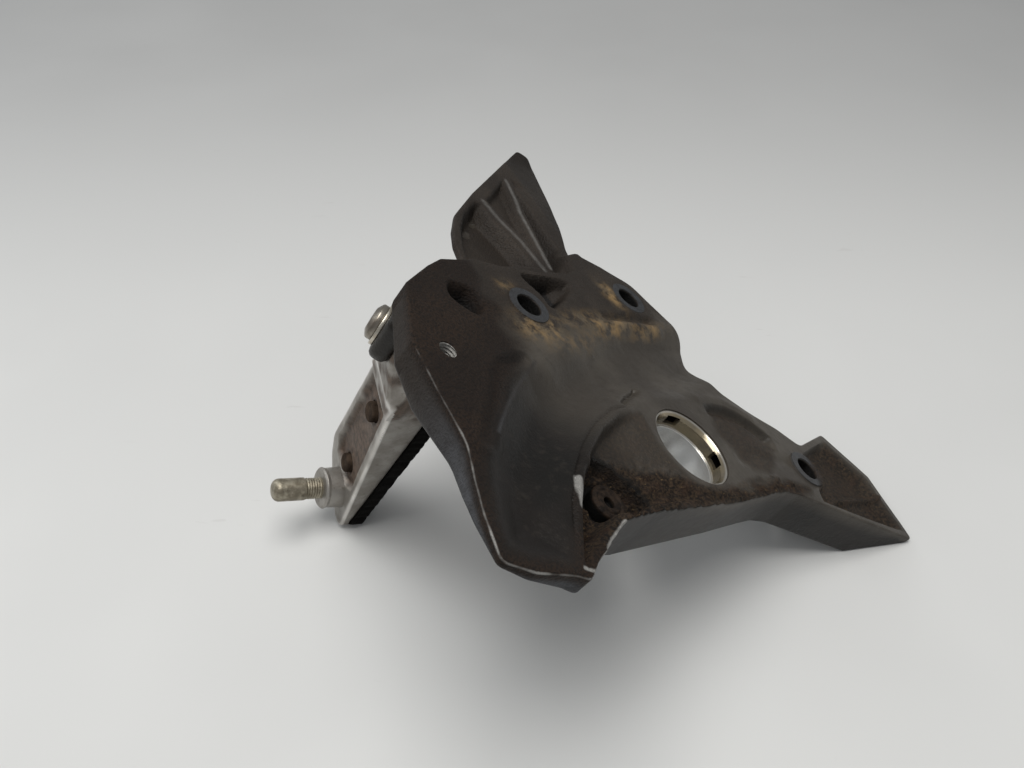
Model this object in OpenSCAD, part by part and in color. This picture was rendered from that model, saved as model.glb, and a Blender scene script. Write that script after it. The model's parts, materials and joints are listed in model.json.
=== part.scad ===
// Motorcycle footrest hanger, left side, with its folding footrest.
// A sand-cast arm carries a heel guard fin, three frame bolt holes, a lever
// pivot bush and a clevis. The footrest folds up and back on the clevis pin.
// Every piece is drawn in the arm's own frame: the first bolt hole at the
// origin, X towards the second hole, Z out of the face that meets the frame.
// The whole part is then turned so that it lies on a bench on three points.

/* [Frame bolts] */
// Diameter of the three bolt holes, for an 8 mm bolt
bolt_hole_d = 8.5; // [8.2:0.1:9.5]
// Distance between the two upper bolt holes
bolt_span = 60; // [56:1:66]
// Third bolt hole, distance along the line of the upper pair
tail_bolt_x = 81; // [77:1:86]
// Third bolt hole, distance below the line of the upper pair
tail_bolt_y = 81.5; // [78:0.5:86]
// Outer diameter of the machined ring round each bolt hole
ring_d = 14.5; // [13:0.5:17]
// Height of the machined rings above the cast face
ring_rise = 0.6; // [0.3:0.1:1.5]
// Length of each bolt hole, from its ring to the seat of the bolt head
bolt_grip = 10.5; // [9.5:0.5:12]
// Diameter of the spot face that seats each bolt head
seat_d = 17; // [15:0.5:18]

/* [Cast arm] */
// Depth of the flank along the lower edge
flank_depth = 16.8; // [15:0.2:20]
// Depth of the flank at the upper left corner
corner_depth = 9; // [8:0.5:11]
// Depth of the thin lip at the toe
toe_depth = 3; // [2:0.5:4.5]
// Depth of the keel under the lower edge, at its deepest
keel_depth = 21; // [18:0.5:24]
// Depth of the long dished channel across the arm
channel_depth = 3.6; // [2:0.2:5]
// Depth of the dirt-filled recess beside the pivot
recess_depth = 8.5; // [6:0.5:10]
// Depth of the shallow pocket between pivot and tail
side_pocket_depth = 3.2; // [2:0.2:5]
// Depth of the two pockets beside the first bolt hole
head_pocket_depth = 7.5; // [5:0.5:8]
// Diameter of the small threaded hole, an M6 core
small_hole_d = 5; // [4.5:0.1:6]
// Depth of the small threaded hole
small_hole_depth = 7; // [5:0.5:7.5]

/* [Heel guard fin] */
// How far the fin's rim lies below the bolt face
fin_drop = 4; // [3:0.5:5]
// Thickness of the fin from rim to outer face
fin_t = 7; // [5:0.5:11]
// Thickness of the fin's floor between the ribs
fin_floor_t = 2.8; // [2.2:0.1:4.5]

/* [Lever pivot] */
// Pivot bore, distance from the first bolt hole along the upper pair
pivot_x = 25; // [22:0.5:28]
// Pivot bore, distance below the upper pair
pivot_y = 58.6; // [56:0.2:61]
// Outer diameter of the steel bush pressed into the pivot bore
bush_d = 28; // [26:0.5:30]
// Bore of the bush
bush_bore_d = 24.8; // [23:0.1:25.5]
// Length of the bush
bush_len = 24; // [21:0.5:28]
// Width of the four slots near the rim of the bush
slot_w = 5.6; // [4:0.2:9]
// Outer diameter of the tubular boss on the outer side
pivot_boss_d = 35; // [33.5:0.5:38]

/* [Footrest] */
// Length of the footrest from its hinge to its outer end
peg_len = 95; // [88:1:102]
// Width of the footrest next to the hinge
peg_w_in = 20.8; // [19:0.2:23]
// Width of the footrest near its outer end
peg_w_out = 30; // [27:0.5:32]
// Thickness of the footrest metal next to the hinge
peg_t_in = 14; // [13:0.5:15.5]
// Thickness of the footrest metal at its outer end
peg_t_out = 3.4; // [2.8:0.2:5]
// Thickness of the tread rubber above the metal
tread_t = 5.1; // [4:0.1:7]
// Spacing of the two rubber studs that hold the tread
stud_pitch = 37.6; // [34:0.2:40]
// Diameter of the holes for the rubber studs
stud_hole_d = 7.4; // [6.5:0.1:8.5]
// Diameter of the feeler rod below the outer end
feeler_d = 8; // [5.5:0.1:9]
// Length of the feeler below its boss
feeler_len = 17; // [12:0.5:20]
// Diameter of the feeler's boss
feeler_boss_d = 13; // [11.5:0.5:17]

/* [Hinge] */
// Diameter of the clevis pin
pin_d = 8; // [7:0.1:9]
// Clear width between the two lugs
clevis_gap = 16.4; // [15:0.2:18]
// Thickness of each lug
lug_t = 6; // [5:0.2:8]
// Radius of the lugs round the pin
lug_r = 9; // [8:0.5:12]
// Distance of the pin below the bolt face
pin_drop = 23; // [22:0.5:25]
// Width of the footrest's eye between the lugs
eye_w = 10.4; // [9.6:0.2:11]
// Radius of the footrest's eye
eye_r = 8.2; // [7.5:0.1:8.6]
// Wire diameter of the return spring
spring_wire = 1.4; // [1:0.1:1.6]

/* [Hidden] */
$fn = 72;
eps = 0.01;
// Half size of the blocks that cut a slanted face
far = 400;
// Running clearance of pieces that turn past each other
play = 0.3;

// Plan places of the main features
bolt_a = [0, 0];
bolt_b = [bolt_span, 0];
bolt_c = [tail_bolt_x, -tail_bolt_y];
pivot = [pivot_x, -pivot_y];
small_hole = [-46, -12.2];
stud_at = [-21.8, -61.8];
face_z = -ring_rise;

// Toe and tail corners
toe = [-74.8, -65.9];
tail_low = bolt_c + [15, -28.5];
tail_point = bolt_c + [32.3, -39.8];
tail_end = bolt_c + [42.7, -14.1];
tail_top = bolt_c + [35, 8];
tail_point_depth = 2.7;
tail_end_depth = flank_depth - 10.4;

// Direction helpers
function unit(v) = v / norm(v);
function lift(p, z) = [p.x, p.y, z];
// Frame of the plane through three points, its third axis on the +Z side
function plane_frame(a, b, c) =
    let(n0 = unit(cross(b - a, c - a)),
        n = n0.z > 0 ? n0 : -n0,
        x = unit(b - a),
        y = cross(n, x))
    [[x.x, y.x, n.x, a.x], [x.y, y.y, n.y, a.y], [x.z, y.z, n.z, a.z], [0, 0, 0, 1]];

// Hinge and footrest frame
hinge_turn = 36;
hinge = [-24.3, 4.4, -pin_drop];
peg_out = unit([0.23, 0.14, -0.96]);
pin_dir = let(d = [-sin(hinge_turn), cos(hinge_turn), 0]) unit(d - (d * peg_out) * peg_out);
// Angle between the pin and the tread's plane
pin_tilt = 53.5;
fold_dir = cross(peg_out, pin_dir);
peg_wide = cos(pin_tilt) * pin_dir + sin(pin_tilt) * fold_dir;
peg_up = cross(peg_out, peg_wide);
function columns(x, y, z, o) =
    [[x.x, y.x, z.x, o.x], [x.y, y.y, z.y, o.y], [x.z, y.z, z.z, o.z], [0, 0, 0, 1]];
function in_peg(p) = hinge + p.x * peg_out + p.y * peg_wide + p.z * peg_up;

// Footrest stations, measured from the hinge
neck_u = 16;
peg_under_in = -7.5;
peg_under_out = peg_under_in + peg_t_in - peg_t_out;
peg_top = peg_under_in + peg_t_in;
peg_mid_v = -1.6;
stud_u = 32.9;
boss_u = peg_len - 11;
boss_v = -5;
boss_face_w = -4.8;
tread_in_u = 19;
tread_out_u = peg_len - 3.5;
tread_over = 0.8;

// Clevis stations along the pin
lug_far = clevis_gap / 2 + lug_t;
washer_t = 1.2;
head_t = 3;
head_d = 11;
clip_t = 1;
groove_d = pin_d - 2;
eye_mid = clevis_gap / 2 - play - eye_w / 2;

// Bench plane through the footrest's outer corner and two tail corners
rest_peg = in_peg([tread_out_u, peg_mid_v - peg_w_out / 2 - tread_over, peg_top + tread_t]);
rest_low = lift(tail_low, -flank_depth);
rest_end = lift(tail_end, -tail_end_depth);
bench_up = let(n = unit(cross(rest_low - rest_peg, rest_end - rest_peg))) n.z > 0 ? n : -n;
view_right = [0.5965, -0.5746, 0.5604];
bench_x = unit(view_right - (view_right * bench_up) * bench_up);
bench_y = cross(bench_up, bench_x);
rest_turn = [[bench_x.x, bench_x.y, bench_x.z, 0], [bench_y.x, bench_y.y, bench_y.z, 0],
             [bench_up.x, bench_up.y, bench_up.z, 0], [0, 0, 0, 1]];

// Plan outline of the arm, starting left of the first bolt hole and going
// down the left edge to the toe, along the lower edge and round the tail
arm_outline = concat(
    [[-22.3, 20], [-29.8, 17.4], [-42.5, 11.5], [-43.8, 10.4], [-50.1, 0.5], [-55.6, -7.9],
     [-59, -23.4], [-61.6, -38.7], [-66.9, -47.4], [-70.8, -55], toe, [-68, -71.1],
     [-57.5, -75.6], [-54, -77.9], [-48.3, -75.3], [-34.3, -71], [-28.6, -69.8]],
    [pivot + [-40, -12.9], pivot + [-1, -21], pivot + [20.6, -24], pivot + [29.9, -25.5]],
    [bolt_c + [-18.9, -5.6], bolt_c + [-10.3, -11.3], tail_low, tail_point, tail_end, tail_top,
     bolt_c + [10.8, 8], bolt_c + [4.4, 17.3], bolt_c + [-6.6, 27.9], bolt_c + [-13, 36.5]],
    [bolt_b + [6.3, -37], bolt_b + [8, -29.8], bolt_b + [19.5, -18.9], bolt_b + [8.9, 7.7],
     bolt_b + [-0.5, 13.6], bolt_b + [-13.2, 22.7], bolt_b + [-28, 12], [10.4, 15],
     [-5.9, 18.8]]);

// Plan outline of the heel guard fin, from its left root over the tip
fin_outline = [[-15.9, 12], [-9.5, 23.4], [-7, 30.5], [-2.3, 36.8], [7, 44.9], [26.4, 55.8],
               [54.3, 71.2], [75, 82], [80, 83.6], [84, 82.5], [85, 78.6], [74.6, 59.2],
               [63.7, 40.7], [54, 26.5], [46.8, 12]];

// Prism of a plan outline between two heights
module prism(points, low, high)
    translate([0, 0, low]) linear_extrude(high - low) polygon(points);

// Everything below the plane through three points
module below(a, b, c)
    multmatrix(plane_frame(a, b, c)) translate([-far, -far, -far]) cube([2 * far, 2 * far, far]);

// Everything above the plane through three points
module above(a, b, c)
    multmatrix(plane_frame(a, b, c)) translate([-far, -far, 0]) cube([2 * far, 2 * far, far]);

// Turns a piece from the arm's frame to its place on the bench
module at_rest() multmatrix(rest_turn) children();

// Frame of the footrest: X outwards, Y rearwards, Z up through the tread
module in_footrest() multmatrix(columns(peg_out, peg_wide, peg_up, hinge)) children();

// Frame of the hinge: Z along the pin, X outwards
module at_hinge() multmatrix(columns(peg_out, -fold_dir, pin_dir, hinge)) children();

// A pocket with sloping walls, from the cast face down to its floor
module dish(points, depth, slope) {
    centre = [for (i = [0, 1]) [for (p = points) p[i]] * [for (p = points) 1] / len(points)];
    floor_points = [for (p = points) p + slope * unit(centre - p)];
    hull() {
        prism(points, face_z, 2);
        prism(floor_points, -depth, 2);
    }
}

// Outer shape of the arm before its inner face is worked
module arm_blank() {
    difference() {
        prism(arm_outline, -flank_depth, face_z);
        below(lift(toe, -toe_depth), [-54, -77.9, -toe_depth - 4.2],
              [-61.6, -38.7, -corner_depth]);
        below([-44.5, 9.4, -corner_depth], [-59, -23.4, -corner_depth - 3],
              [-4, -2, -corner_depth - 5]);
        below(rest_low, lift(tail_point, -tail_point_depth), rest_end);
    }
}

// Keel under the lower edge, between the toe and the pivot
module keel() {
    points = [[-48.3, -75.3], [-34.3, -71], [-28.6, -69.8], pivot + [-40, -12.9],
              pivot + [-1, -21], pivot + [-6, 6], [-20, -30], [-40, -38]];
    difference() {
        prism(points, -keel_depth, face_z - 6);
        below(lift(toe, -toe_depth), [-54, -77.9, -toe_depth - 4.2], [-15, -71.5, -keel_depth]);
        below([-15, -71.5, -keel_depth], pivot_edge(-flank_depth), [-15, -30, -corner_depth]);
    }
}
function pivot_edge(z) = [pivot.x - 1, pivot.y - 21, z];

// Heel guard fin with its rim, two ribs and the floor between them
module fin() {
    top = -fin_drop;
    low = top - fin_t;
    floor_z = low + fin_floor_t;
    difference() {
        prism(fin_outline, low, top);
        prism([[-3.5, 17], [-4.5, 30], [0.5, 35.6], [9, 42.5], [23.3, 50.6], [23.5, 44.5],
               [24.5, 36], [25.8, 16]], floor_z, 1);
        prism([[28, 15], [28.3, 40], [28.2, 52.8], [50, 65.2], [51.5, 60], [49.8, 52.5],
               [42.5, 37.2], [34.2, 15]], floor_z + 1, 1);
        prism([[57.3, 66], [60.5, 62.5], [58.8, 48], [51.5, 29], [47, 21], [43, 17.5], [38.5, 15],
               [40, 21], [47.8, 38.6], [55.4, 55]], floor_z, 1);
        // Chamfer down the right flank
        above([84, 79, top - 3], [54, 26.5, top - 2], [62, 60, top + 0.5]);
    }
}

// One lug of the clevis, standing off the arm's outer face
module lug(from) {
    at_hinge() translate([0, 0, from]) {
        cylinder(r = lug_r, h = lug_t);
        translate([-(pin_drop - corner_depth - 1), -lug_r, 0])
            cube([pin_drop - corner_depth - 1, 2 * lug_r, lug_t]);
    }
}

// Cast arm with fin, clevis lugs, pivot boss and all its bores
module hanger() color([0.27, 0.25, 0.24]) at_rest() {
    difference() {
        union() {
            arm_blank();
            keel();
            fin();
            lug(clevis_gap / 2);
            lug(-lug_far);
            translate([pivot.x, pivot.y, -bush_len - 1])
                cylinder(d = pivot_boss_d, h = bush_len + 1 + face_z);
            for (p = [bolt_a, bolt_b, bolt_c])
                translate([p.x, p.y, -flank_depth + 4]) cylinder(d = ring_d, h = flank_depth - 4);
        }
        // Room for the footrest's eye under the arm
        at_hinge() translate([0, 0, -clevis_gap / 2]) cylinder(r = eye_r + 2, h = clevis_gap);
        for (p = [bolt_a, bolt_b, bolt_c]) {
            translate([p.x, p.y, -flank_depth - 20]) cylinder(d = bolt_hole_d, h = flank_depth + 40);
            translate([p.x, p.y, -bolt_grip - 20]) cylinder(d = seat_d, h = 20);
        }
        translate([pivot.x, pivot.y, -bush_len - 2]) cylinder(d = bush_d, h = bush_len + 10);
        translate([small_hole.x, small_hole.y, -small_hole_depth])
            cylinder(d = small_hole_d, h = small_hole_depth + 1);
        at_hinge() translate([0, 0, -lug_far - 5]) cylinder(d = pin_d, h = 2 * lug_far + 10);
        inner_face();
    }
}

// Everything that is hollowed out of the face that meets the frame
module inner_face() {
    // Channel from the right edge down to the toe, in two runs
    difference() {
        union() {
            dish([[68, -12], [38, -8], [-14, -20], [-30, -26], [-22, -46], [-3, -40],
                  [20, -39], [46, -43], [64, -36]], channel_depth, 6);
            dish([[-14, -20], [-57, -39], [-69, -62], [-62, -70], [-47, -66], [-38, -59],
                  [-22, -46], [-10, -42]], channel_depth, 5);
        }
        prism(recess_rim, -20, 5);
    }
    // Recess beside the pivot, deeper on its left
    prism(recess_floor, -recess_depth, 1);
    prism(recess_shelf, -recess_depth + 3.5, 1);
    // Crescent gap left of the stud
    translate([stud_at.x, stud_at.y, -recess_depth - 1.5]) cylinder(d = 13.5, h = 10);
    // Shallow pocket between pivot and tail
    difference() {
        dish([pivot + [24, 11], pivot + [40, 8], pivot + [53, -2], pivot + [52, -9],
              pivot + [40, -18], pivot + [22, -13]], side_pocket_depth, 3);
        translate([pivot.x, pivot.y, -20]) cylinder(d = bush_d + 6, h = 30);
    }
    // Tray in the tail
    difference() {
        prism([bolt_c + [8, 5], bolt_c + [32, 5.5], bolt_c + [39, -14], bolt_c + [31, -35],
               bolt_c + [12, -24], bolt_c + [-6, -11]], face_z - 3.2, 1);
        translate([bolt_c.x, bolt_c.y, -20]) cylinder(d = ring_d + 1, h = 30);
        prism([bolt_c + [4, -12.5], bolt_c + [38, -22], bolt_c + [37.4, -24],
               bolt_c + [4, -14.5]], -20, 5);
    }
    // Round pocket left of the first bolt hole
    translate([-24.5, 5, -head_pocket_depth]) cylinder(d = 12, h = 10);
    // Long pocket right of the first bolt hole
    prism([[7.9, 13.5], [18.9, 11.6], [28.2, 10.2], [32, 8], [28.9, 4.6], [21.8, 1.4], [12.5, -2],
           [9.6, -0.6], [10.4, 3.7], [9, 8.9]], -head_pocket_depth, 1);
    // Crease below the second bolt hole
    prism([[38, -6.5], [52, -9], [68, -10.5], [68, -12.5], [38, -8.5]], -channel_depth - 1, 1);
}

// Rim of the recess, its deep floor and its shelf
recess_rim = [[-57, -75.7], [-52, -71], [-45, -65.5], [-38, -59.5], [-29, -52], [-21, -47],
              [-9, -42.5], [2, -40], [14, -39.2], [19, -41], [40, -60], [40, -90], [-57, -90]];
recess_floor = [[-48, -71], [-43, -66], [-36.5, -60], [-28, -53.3], [-19.6, -49.6],
                [-13.5, -54], [-7.6, -64], [-4.6, -68.6], [-16, -68.2], [-28, -66.6],
                [-36, -68.6]];
recess_shelf = [[-19, -49], [-8, -44.5], [2, -42], [11, -41.5], [10.5, -46], [9, -52],
                [8, -60], [10, -68], [14, -73], [4, -72.6], [-8, -69.4], [-13, -60]];

// Steel bush of the lever pivot, with four slots near its rim
module pivot_bush() color([0.78, 0.76, 0.72]) at_rest() translate([pivot.x, pivot.y, 0]) {
    rim_z = -1;
    step_z = -6;
    step = 0.9;
    difference() {
        translate([0, 0, rim_z - bush_len]) cylinder(d = bush_d, h = bush_len);
        translate([0, 0, step_z]) cylinder(d = bush_bore_d, h = bush_len);
        translate([0, 0, rim_z - bush_len - 1]) cylinder(d = bush_bore_d - 2 * step, h = bush_len + 2);
        for (turn = [63, -30, 243, 150])
            rotate([0, 0, turn]) translate([0, -slot_w / 2, step_z + 1]) cube([bush_d, slot_w, 3]);
    }
}

// Stop stud pressed into the recess, with a drilled end
module stop_stud() color([0.35, 0.29, 0.24]) at_rest() translate([stud_at.x, stud_at.y, 0]) {
    stud_d = 11;
    head_z = -6;
    seat_z = -recess_depth - 1.5;
    difference() {
        translate([0, 0, seat_z]) cylinder(d = stud_d, h = head_z - seat_z);
        translate([0, 0, head_z - 2.5]) cylinder(d = 3.4, h = 5);
    }
}

// Plan outline of the footrest, taper outwards with a rounded far corner
function peg_plan(grow) =
    let(near_in = peg_mid_v - peg_w_in / 2 - grow,
        near_out = peg_mid_v - peg_w_out / 2 - grow,
        far_in = peg_mid_v + peg_w_in / 2 + grow,
        far_out = peg_mid_v + peg_w_out / 2 + grow)
    [[neck_u - 2, near_in], [neck_u + 4, near_in], [peg_len - 3, near_out],
     [peg_len - 0.8, near_out + 1.6], [peg_len, near_out + 5], [peg_len - 2, far_out - 12],
     [peg_len - 10, far_out - 3.5], [peg_len - 17, far_out], [neck_u + 4, far_in],
     [neck_u - 2, far_in]];

// Footrest casting: eye, neck, wedge-shaped body, feeler boss and end lip
module footrest() color([0.72, 0.7, 0.66]) at_rest() {
    difference() {
        union() {
            in_footrest() difference() {
                intersection() {
                    prism(peg_plan(0), -30, 30);
                    // Side profile: sloping underside, flat top, low lip at the end
                    rotate([90, 0, 0]) translate([0, 0, -30]) linear_extrude(60)
                        polygon([[neck_u - 2, peg_under_in], [peg_len - 6, peg_under_out],
                                 [peg_len, peg_under_out + 1], [peg_len, peg_top + 2.2],
                                 [peg_len - 2.5, peg_top + 2.2], [peg_len - 3, peg_top],
                                 [neck_u - 2, peg_top]]);
                }
                // Shallow trough along the underside
                difference() {
                    trough();
                    translate([boss_u, boss_v, -30]) cylinder(d = feeler_boss_d, h = 60);
                }
            }
            neck();
            in_footrest() translate([boss_u, boss_v, boss_face_w])
                cylinder(d = feeler_boss_d, h = peg_top - boss_face_w - 1);
        }
        at_hinge() translate([0, 0, -clevis_gap]) cylinder(d = pin_d + 0.4, h = 2 * clevis_gap);
        // Side faces of the eye
        at_hinge() for (side = [[-60, eye_mid - eye_w / 2], [eye_mid + eye_w / 2, 60]])
            translate([-30, -30, side[0]]) cube([30 + lug_r + 1, 60, side[1] - side[0]]);
        for (i = [0, 1]) in_footrest() translate([stud_u + i * stud_pitch, peg_mid_v, -30])
            cylinder(d = stud_hole_d, h = 60);
        in_footrest() translate([boss_u, boss_v, boss_face_w - 1]) cylinder(d = 5, h = 9);
    }
}

// Trough between the two long ribs of the underside
module trough() {
    slope = atan2(peg_under_out - peg_under_in, peg_len - 6 - (neck_u - 2));
    wall = 3.2;
    points = [[neck_u + 6, -peg_w_in / 2 + wall], [peg_len - 24, -peg_w_out / 2 + wall + 1],
              [peg_len - 18, -peg_w_out / 2 + wall + 6], [peg_len - 18, peg_w_out / 2 - wall - 6],
              [peg_len - 24, peg_w_out / 2 - wall - 1], [neck_u + 6, peg_w_in / 2 - wall]];
    translate([neck_u - 2, peg_mid_v, peg_under_in]) rotate([0, -slope, 0])
        translate([-(neck_u - 2), 0, -20]) linear_extrude(21.6) polygon(points);
}

// Eye round the pin and the neck that joins it to the body
module neck() in_footrest() hull() {
    rotate([-90 - pin_tilt, 0, 0]) translate([0, 0, eye_mid - eye_w / 2 - 1])
        cylinder(r = eye_r, h = eye_w + 2, $fn = 32);
    translate([neck_u, peg_mid_v - peg_w_in / 2, peg_under_in]) cube([1, peg_w_in, peg_t_in]);
}

// Tread rubber with cross ribs on top and two studs through the metal
module tread_rubber() color([0.1, 0.1, 0.1]) at_rest() in_footrest() {
    ribs = 9;
    run = tread_out_u - tread_in_u;
    groove = 2.2;
    difference() {
        intersection() {
            prism(peg_plan(tread_over), peg_top, peg_top + tread_t);
            translate([tread_in_u, -40, peg_top]) cube([run, 80, tread_t]);
        }
        for (i = [1 : ribs - 1])
            translate([tread_in_u + i * run / ribs - groove / 2, peg_mid_v - peg_w_in / 2 + 3,
                       peg_top + tread_t - 1.6]) cube([groove, peg_w_in - 6, 3]);
    }
    for (i = [0, 1]) translate([stud_u + i * stud_pitch, peg_mid_v, 0]) {
        under = peg_under_in + (peg_under_out - peg_under_in)
            * (stud_u + i * stud_pitch - neck_u + 2) / (peg_len - 6 - (neck_u - 2));
        translate([0, 0, under - 0.4]) cylinder(d = stud_hole_d - 0.6, h = peg_top - under + 0.4);
    }
}

// Feeler: a round-ended rod screwed into the boss
module feeler() color([0.5, 0.46, 0.4]) at_rest() in_footrest() translate([boss_u, boss_v, boss_face_w]) {
    shank_d = 5;
    nose = 2.4;
    translate([0, 0, -eps]) cylinder(d = shank_d, h = 7);
    rotate([180, 0, 0]) rotate_extrude()
        union() {
            square([feeler_d / 2, feeler_len - nose]);
            square([feeler_d / 2 - nose, feeler_len]);
            translate([feeler_d / 2 - nose, feeler_len - nose]) intersection() {
                circle(r = nose);
                square(nose);
            }
        }
}

// Clevis pin with a low domed head at its rear end and a clip groove
module hinge_pin() color([0.62, 0.6, 0.56]) at_rest() at_hinge() {
    tail = 3.5;
    head_z = lug_far + washer_t;
    difference() {
        union() {
            translate([0, 0, -lug_far - tail]) cylinder(d = pin_d, h = lug_far + tail + head_z);
            translate([0, 0, head_z]) rotate_extrude() polygon([[0, 0], [head_d / 2, 0],
                [head_d / 2, head_t * 0.55], [head_d / 2 - 2.2, head_t], [0, head_t]]);
        }
        translate([0, 0, -lug_far - play - clip_t]) difference() {
            cylinder(d = pin_d + 4, h = clip_t);
            translate([0, 0, -1]) cylinder(d = groove_d, h = clip_t + 2);
        }
    }
}

// Plain washer between the pin's head and the rear lug
module pin_washer() color([0.8, 0.78, 0.74]) at_rest() at_hinge() translate([0, 0, lug_far])
    difference() {
        cylinder(d = head_d + 2, h = washer_t);
        translate([0, 0, -1]) cylinder(d = pin_d, h = washer_t + 2);
    }

// Open clip in the groove at the front end of the pin
module pin_clip() color([0.4, 0.38, 0.36]) at_rest() at_hinge()
    translate([0, 0, -lug_far - play - clip_t]) difference() {
        cylinder(d = pin_d + 5, h = clip_t);
        translate([0, 0, -1]) cylinder(d = groove_d, h = clip_t + 2);
        translate([0, -groove_d / 2 + 0.6, -1]) cube([pin_d, groove_d - 1.2, clip_t + 2]);
    }

// Return spring beside the eye: three close turns, one leg against the arm
// and one against the footrest's neck
module return_spring() color([0.45, 0.43, 0.4]) at_rest() at_hinge() {
    turns = 3;
    coil_r = pin_d / 2 + 0.4 + spring_wire / 2;
    start = -clevis_gap / 2 + play + spring_wire / 2;
    pitch = spring_wire * 0.9;
    leg_d = spring_wire * 0.8;
    arm_leg = sqrt(pow(eye_r + 2, 2) - pow(coil_r, 2)) - play;
    peg_leg = lug_r + 1 - play;
    rotate_extrude() for (i = [0 : turns - 1])
        translate([coil_r, start + i * pitch]) circle(d = spring_wire, $fn = 24);
    translate([0, -coil_r, start]) rotate([0, -90, 0]) cylinder(d = leg_d, h = arm_leg, $fn = 24);
    translate([0, coil_r, start]) rotate([0, 90, 0]) cylinder(d = leg_d, h = peg_leg, $fn = 24);
}

hanger();
pivot_bush();
stop_stud();
footrest();
tread_rubber();
feeler();
hinge_pin();
pin_washer();
pin_clip();
return_spring();
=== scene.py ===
"""Motorcycle footrest hanger on a pale bench: a dirty sand-cast arm with its folding footrest."""

import json
import math

import bmesh
import bpy
import numpy as np
from mathutils import Matrix
from mathutils.geometry import delaunay_2d_cdt


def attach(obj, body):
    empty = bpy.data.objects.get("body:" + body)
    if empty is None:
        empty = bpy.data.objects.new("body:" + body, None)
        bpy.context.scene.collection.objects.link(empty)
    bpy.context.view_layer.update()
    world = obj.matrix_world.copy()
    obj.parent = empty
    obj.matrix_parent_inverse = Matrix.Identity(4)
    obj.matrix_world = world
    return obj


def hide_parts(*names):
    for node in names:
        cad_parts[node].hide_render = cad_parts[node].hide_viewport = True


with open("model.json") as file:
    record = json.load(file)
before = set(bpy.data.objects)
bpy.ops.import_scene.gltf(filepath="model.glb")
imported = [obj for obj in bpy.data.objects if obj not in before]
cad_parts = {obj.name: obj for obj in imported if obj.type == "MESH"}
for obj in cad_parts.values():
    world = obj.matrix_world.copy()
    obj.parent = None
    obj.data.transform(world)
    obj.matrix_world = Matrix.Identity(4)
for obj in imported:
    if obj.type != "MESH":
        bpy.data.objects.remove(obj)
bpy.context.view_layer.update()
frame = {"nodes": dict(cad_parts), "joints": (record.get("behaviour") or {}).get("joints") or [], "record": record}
scene = bpy.context.scene
MM = 0.001
WELD = 2e-6
SMOOTH_BELOW = 35.0


# Drawing frames
def unit(v):
    """The vector at length one."""
    v = np.asarray(v, float)
    return v / np.linalg.norm(v)


class Axes:
    """A drawing frame in millimetres: its origin and its three axes are given in the row frame."""

    def __init__(self, origin, x, y, z):
        self.origin = np.asarray(origin, float)
        self.rows = np.array([x, y, z], float)

    def to_row(self, points):
        """Origin plus each coordinate times its axis, in metres."""
        return (self.origin + np.asarray(points, float) @ self.rows) * MM

    def from_row(self, points):
        """The same step backwards, from metres."""
        return (np.asarray(points, float) / MM - self.origin) @ self.rows.T

    def turn(self, vector):
        """A direction given along the three axes, in the row frame."""
        return np.asarray(vector, float) @ self.rows


mounts = {m["name"]: m for m in frame["record"]["mounts"]}
first_hole = np.array(mounts["bolt_hole_first"]["pos_m"]) / MM
second_hole = np.array(mounts["bolt_hole_second"]["pos_m"]) / MM
normal = unit(mounts["bolt_hole_first"]["axis"])
along = unit(second_hole - first_hole)
# PLATE lies on the rings' faces: x runs from the first bolt hole to the second, z towards the frame
PLATE = Axes(first_hole, along, np.cross(normal, along), normal)
BOLT_A, BOLT_B, BOLT_C, PIVOT, SMALL_HOLE = [
    PLATE.from_row(mounts[name]["pos_m"])[:2]
    for name in ("bolt_hole_first", "bolt_hole_second", "bolt_hole_tail", "lever_pivot", "small_thread")]

fold = frame["joints"][0]
hinge = np.array(fold["pos_m"]) / MM
pin_way = -unit(fold["axis"])
FOOTREST_WAY = (0.23, 0.14, -0.96)
PIN_TILT = math.radians(53.5)
out_way = PLATE.turn(unit(FOOTREST_WAY))
out_way = unit(out_way - (out_way @ pin_way) * pin_way)
fold_way = np.cross(out_way, pin_way)
wide_way = math.cos(PIN_TILT) * pin_way + math.sin(PIN_TILT) * fold_way
# PEG runs out along the footrest, square to its faces. HINGE has its z along the pin
PEG = Axes(hinge, out_way, wide_way, np.cross(out_way, wide_way))
HINGE = Axes(hinge, out_way, -fold_way, pin_way)


# Shape functions
def ease(t):
    """Smooth step: three t squared minus two t cubed, held between 0 and 1."""
    t = np.clip(t, 0.0, 1.0)
    return t * t * (3.0 - 2.0 * t)


def hump(gap, width):
    """Bell curve: e to the minus square of gap over width."""
    return np.exp(-(gap / width) ** 2)


def gap_to(points, place):
    """Distance from each point to one place."""
    return np.linalg.norm(points - place, axis=1)


def gap_to_line(points, line, closed=False):
    """Distance from each point to the nearest stretch of a line of corners."""
    line = np.asarray(line, float)
    ends = np.roll(line, -1, axis=0) if closed else line[1:]
    best = np.full(len(points), 1e9)
    for start, end in zip(line, ends):
        way = end - start
        share = np.clip(((points - start) @ way) / (way @ way), 0.0, 1.0)
        best = np.minimum(best, ((points - start - share[:, None] * way) ** 2).sum(1))
    return np.sqrt(best)


def depth_in(points, corners):
    """Distance to a closed outline, above zero inside it. Inside is where a level ray crosses it an odd
    number of times."""
    corners = np.asarray(corners, float)
    inside = np.zeros(len(points), bool)
    x, y = points.T
    for start, end in zip(corners, np.roll(corners, -1, axis=0)):
        if start[1] == end[1]:
            continue
        level = (start[1] > y) != (end[1] > y)
        inside ^= level & (x < start[0] + (y - start[1]) * (end[0] - start[0]) / (end[1] - start[1]))
    return gap_to_line(points, corners, closed=True) * np.where(inside, 1.0, -1.0)


def stroke(points, line, height, width):
    """Height times the bell curve of the distance to a line."""
    return height * hump(gap_to_line(points, line), width)


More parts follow.
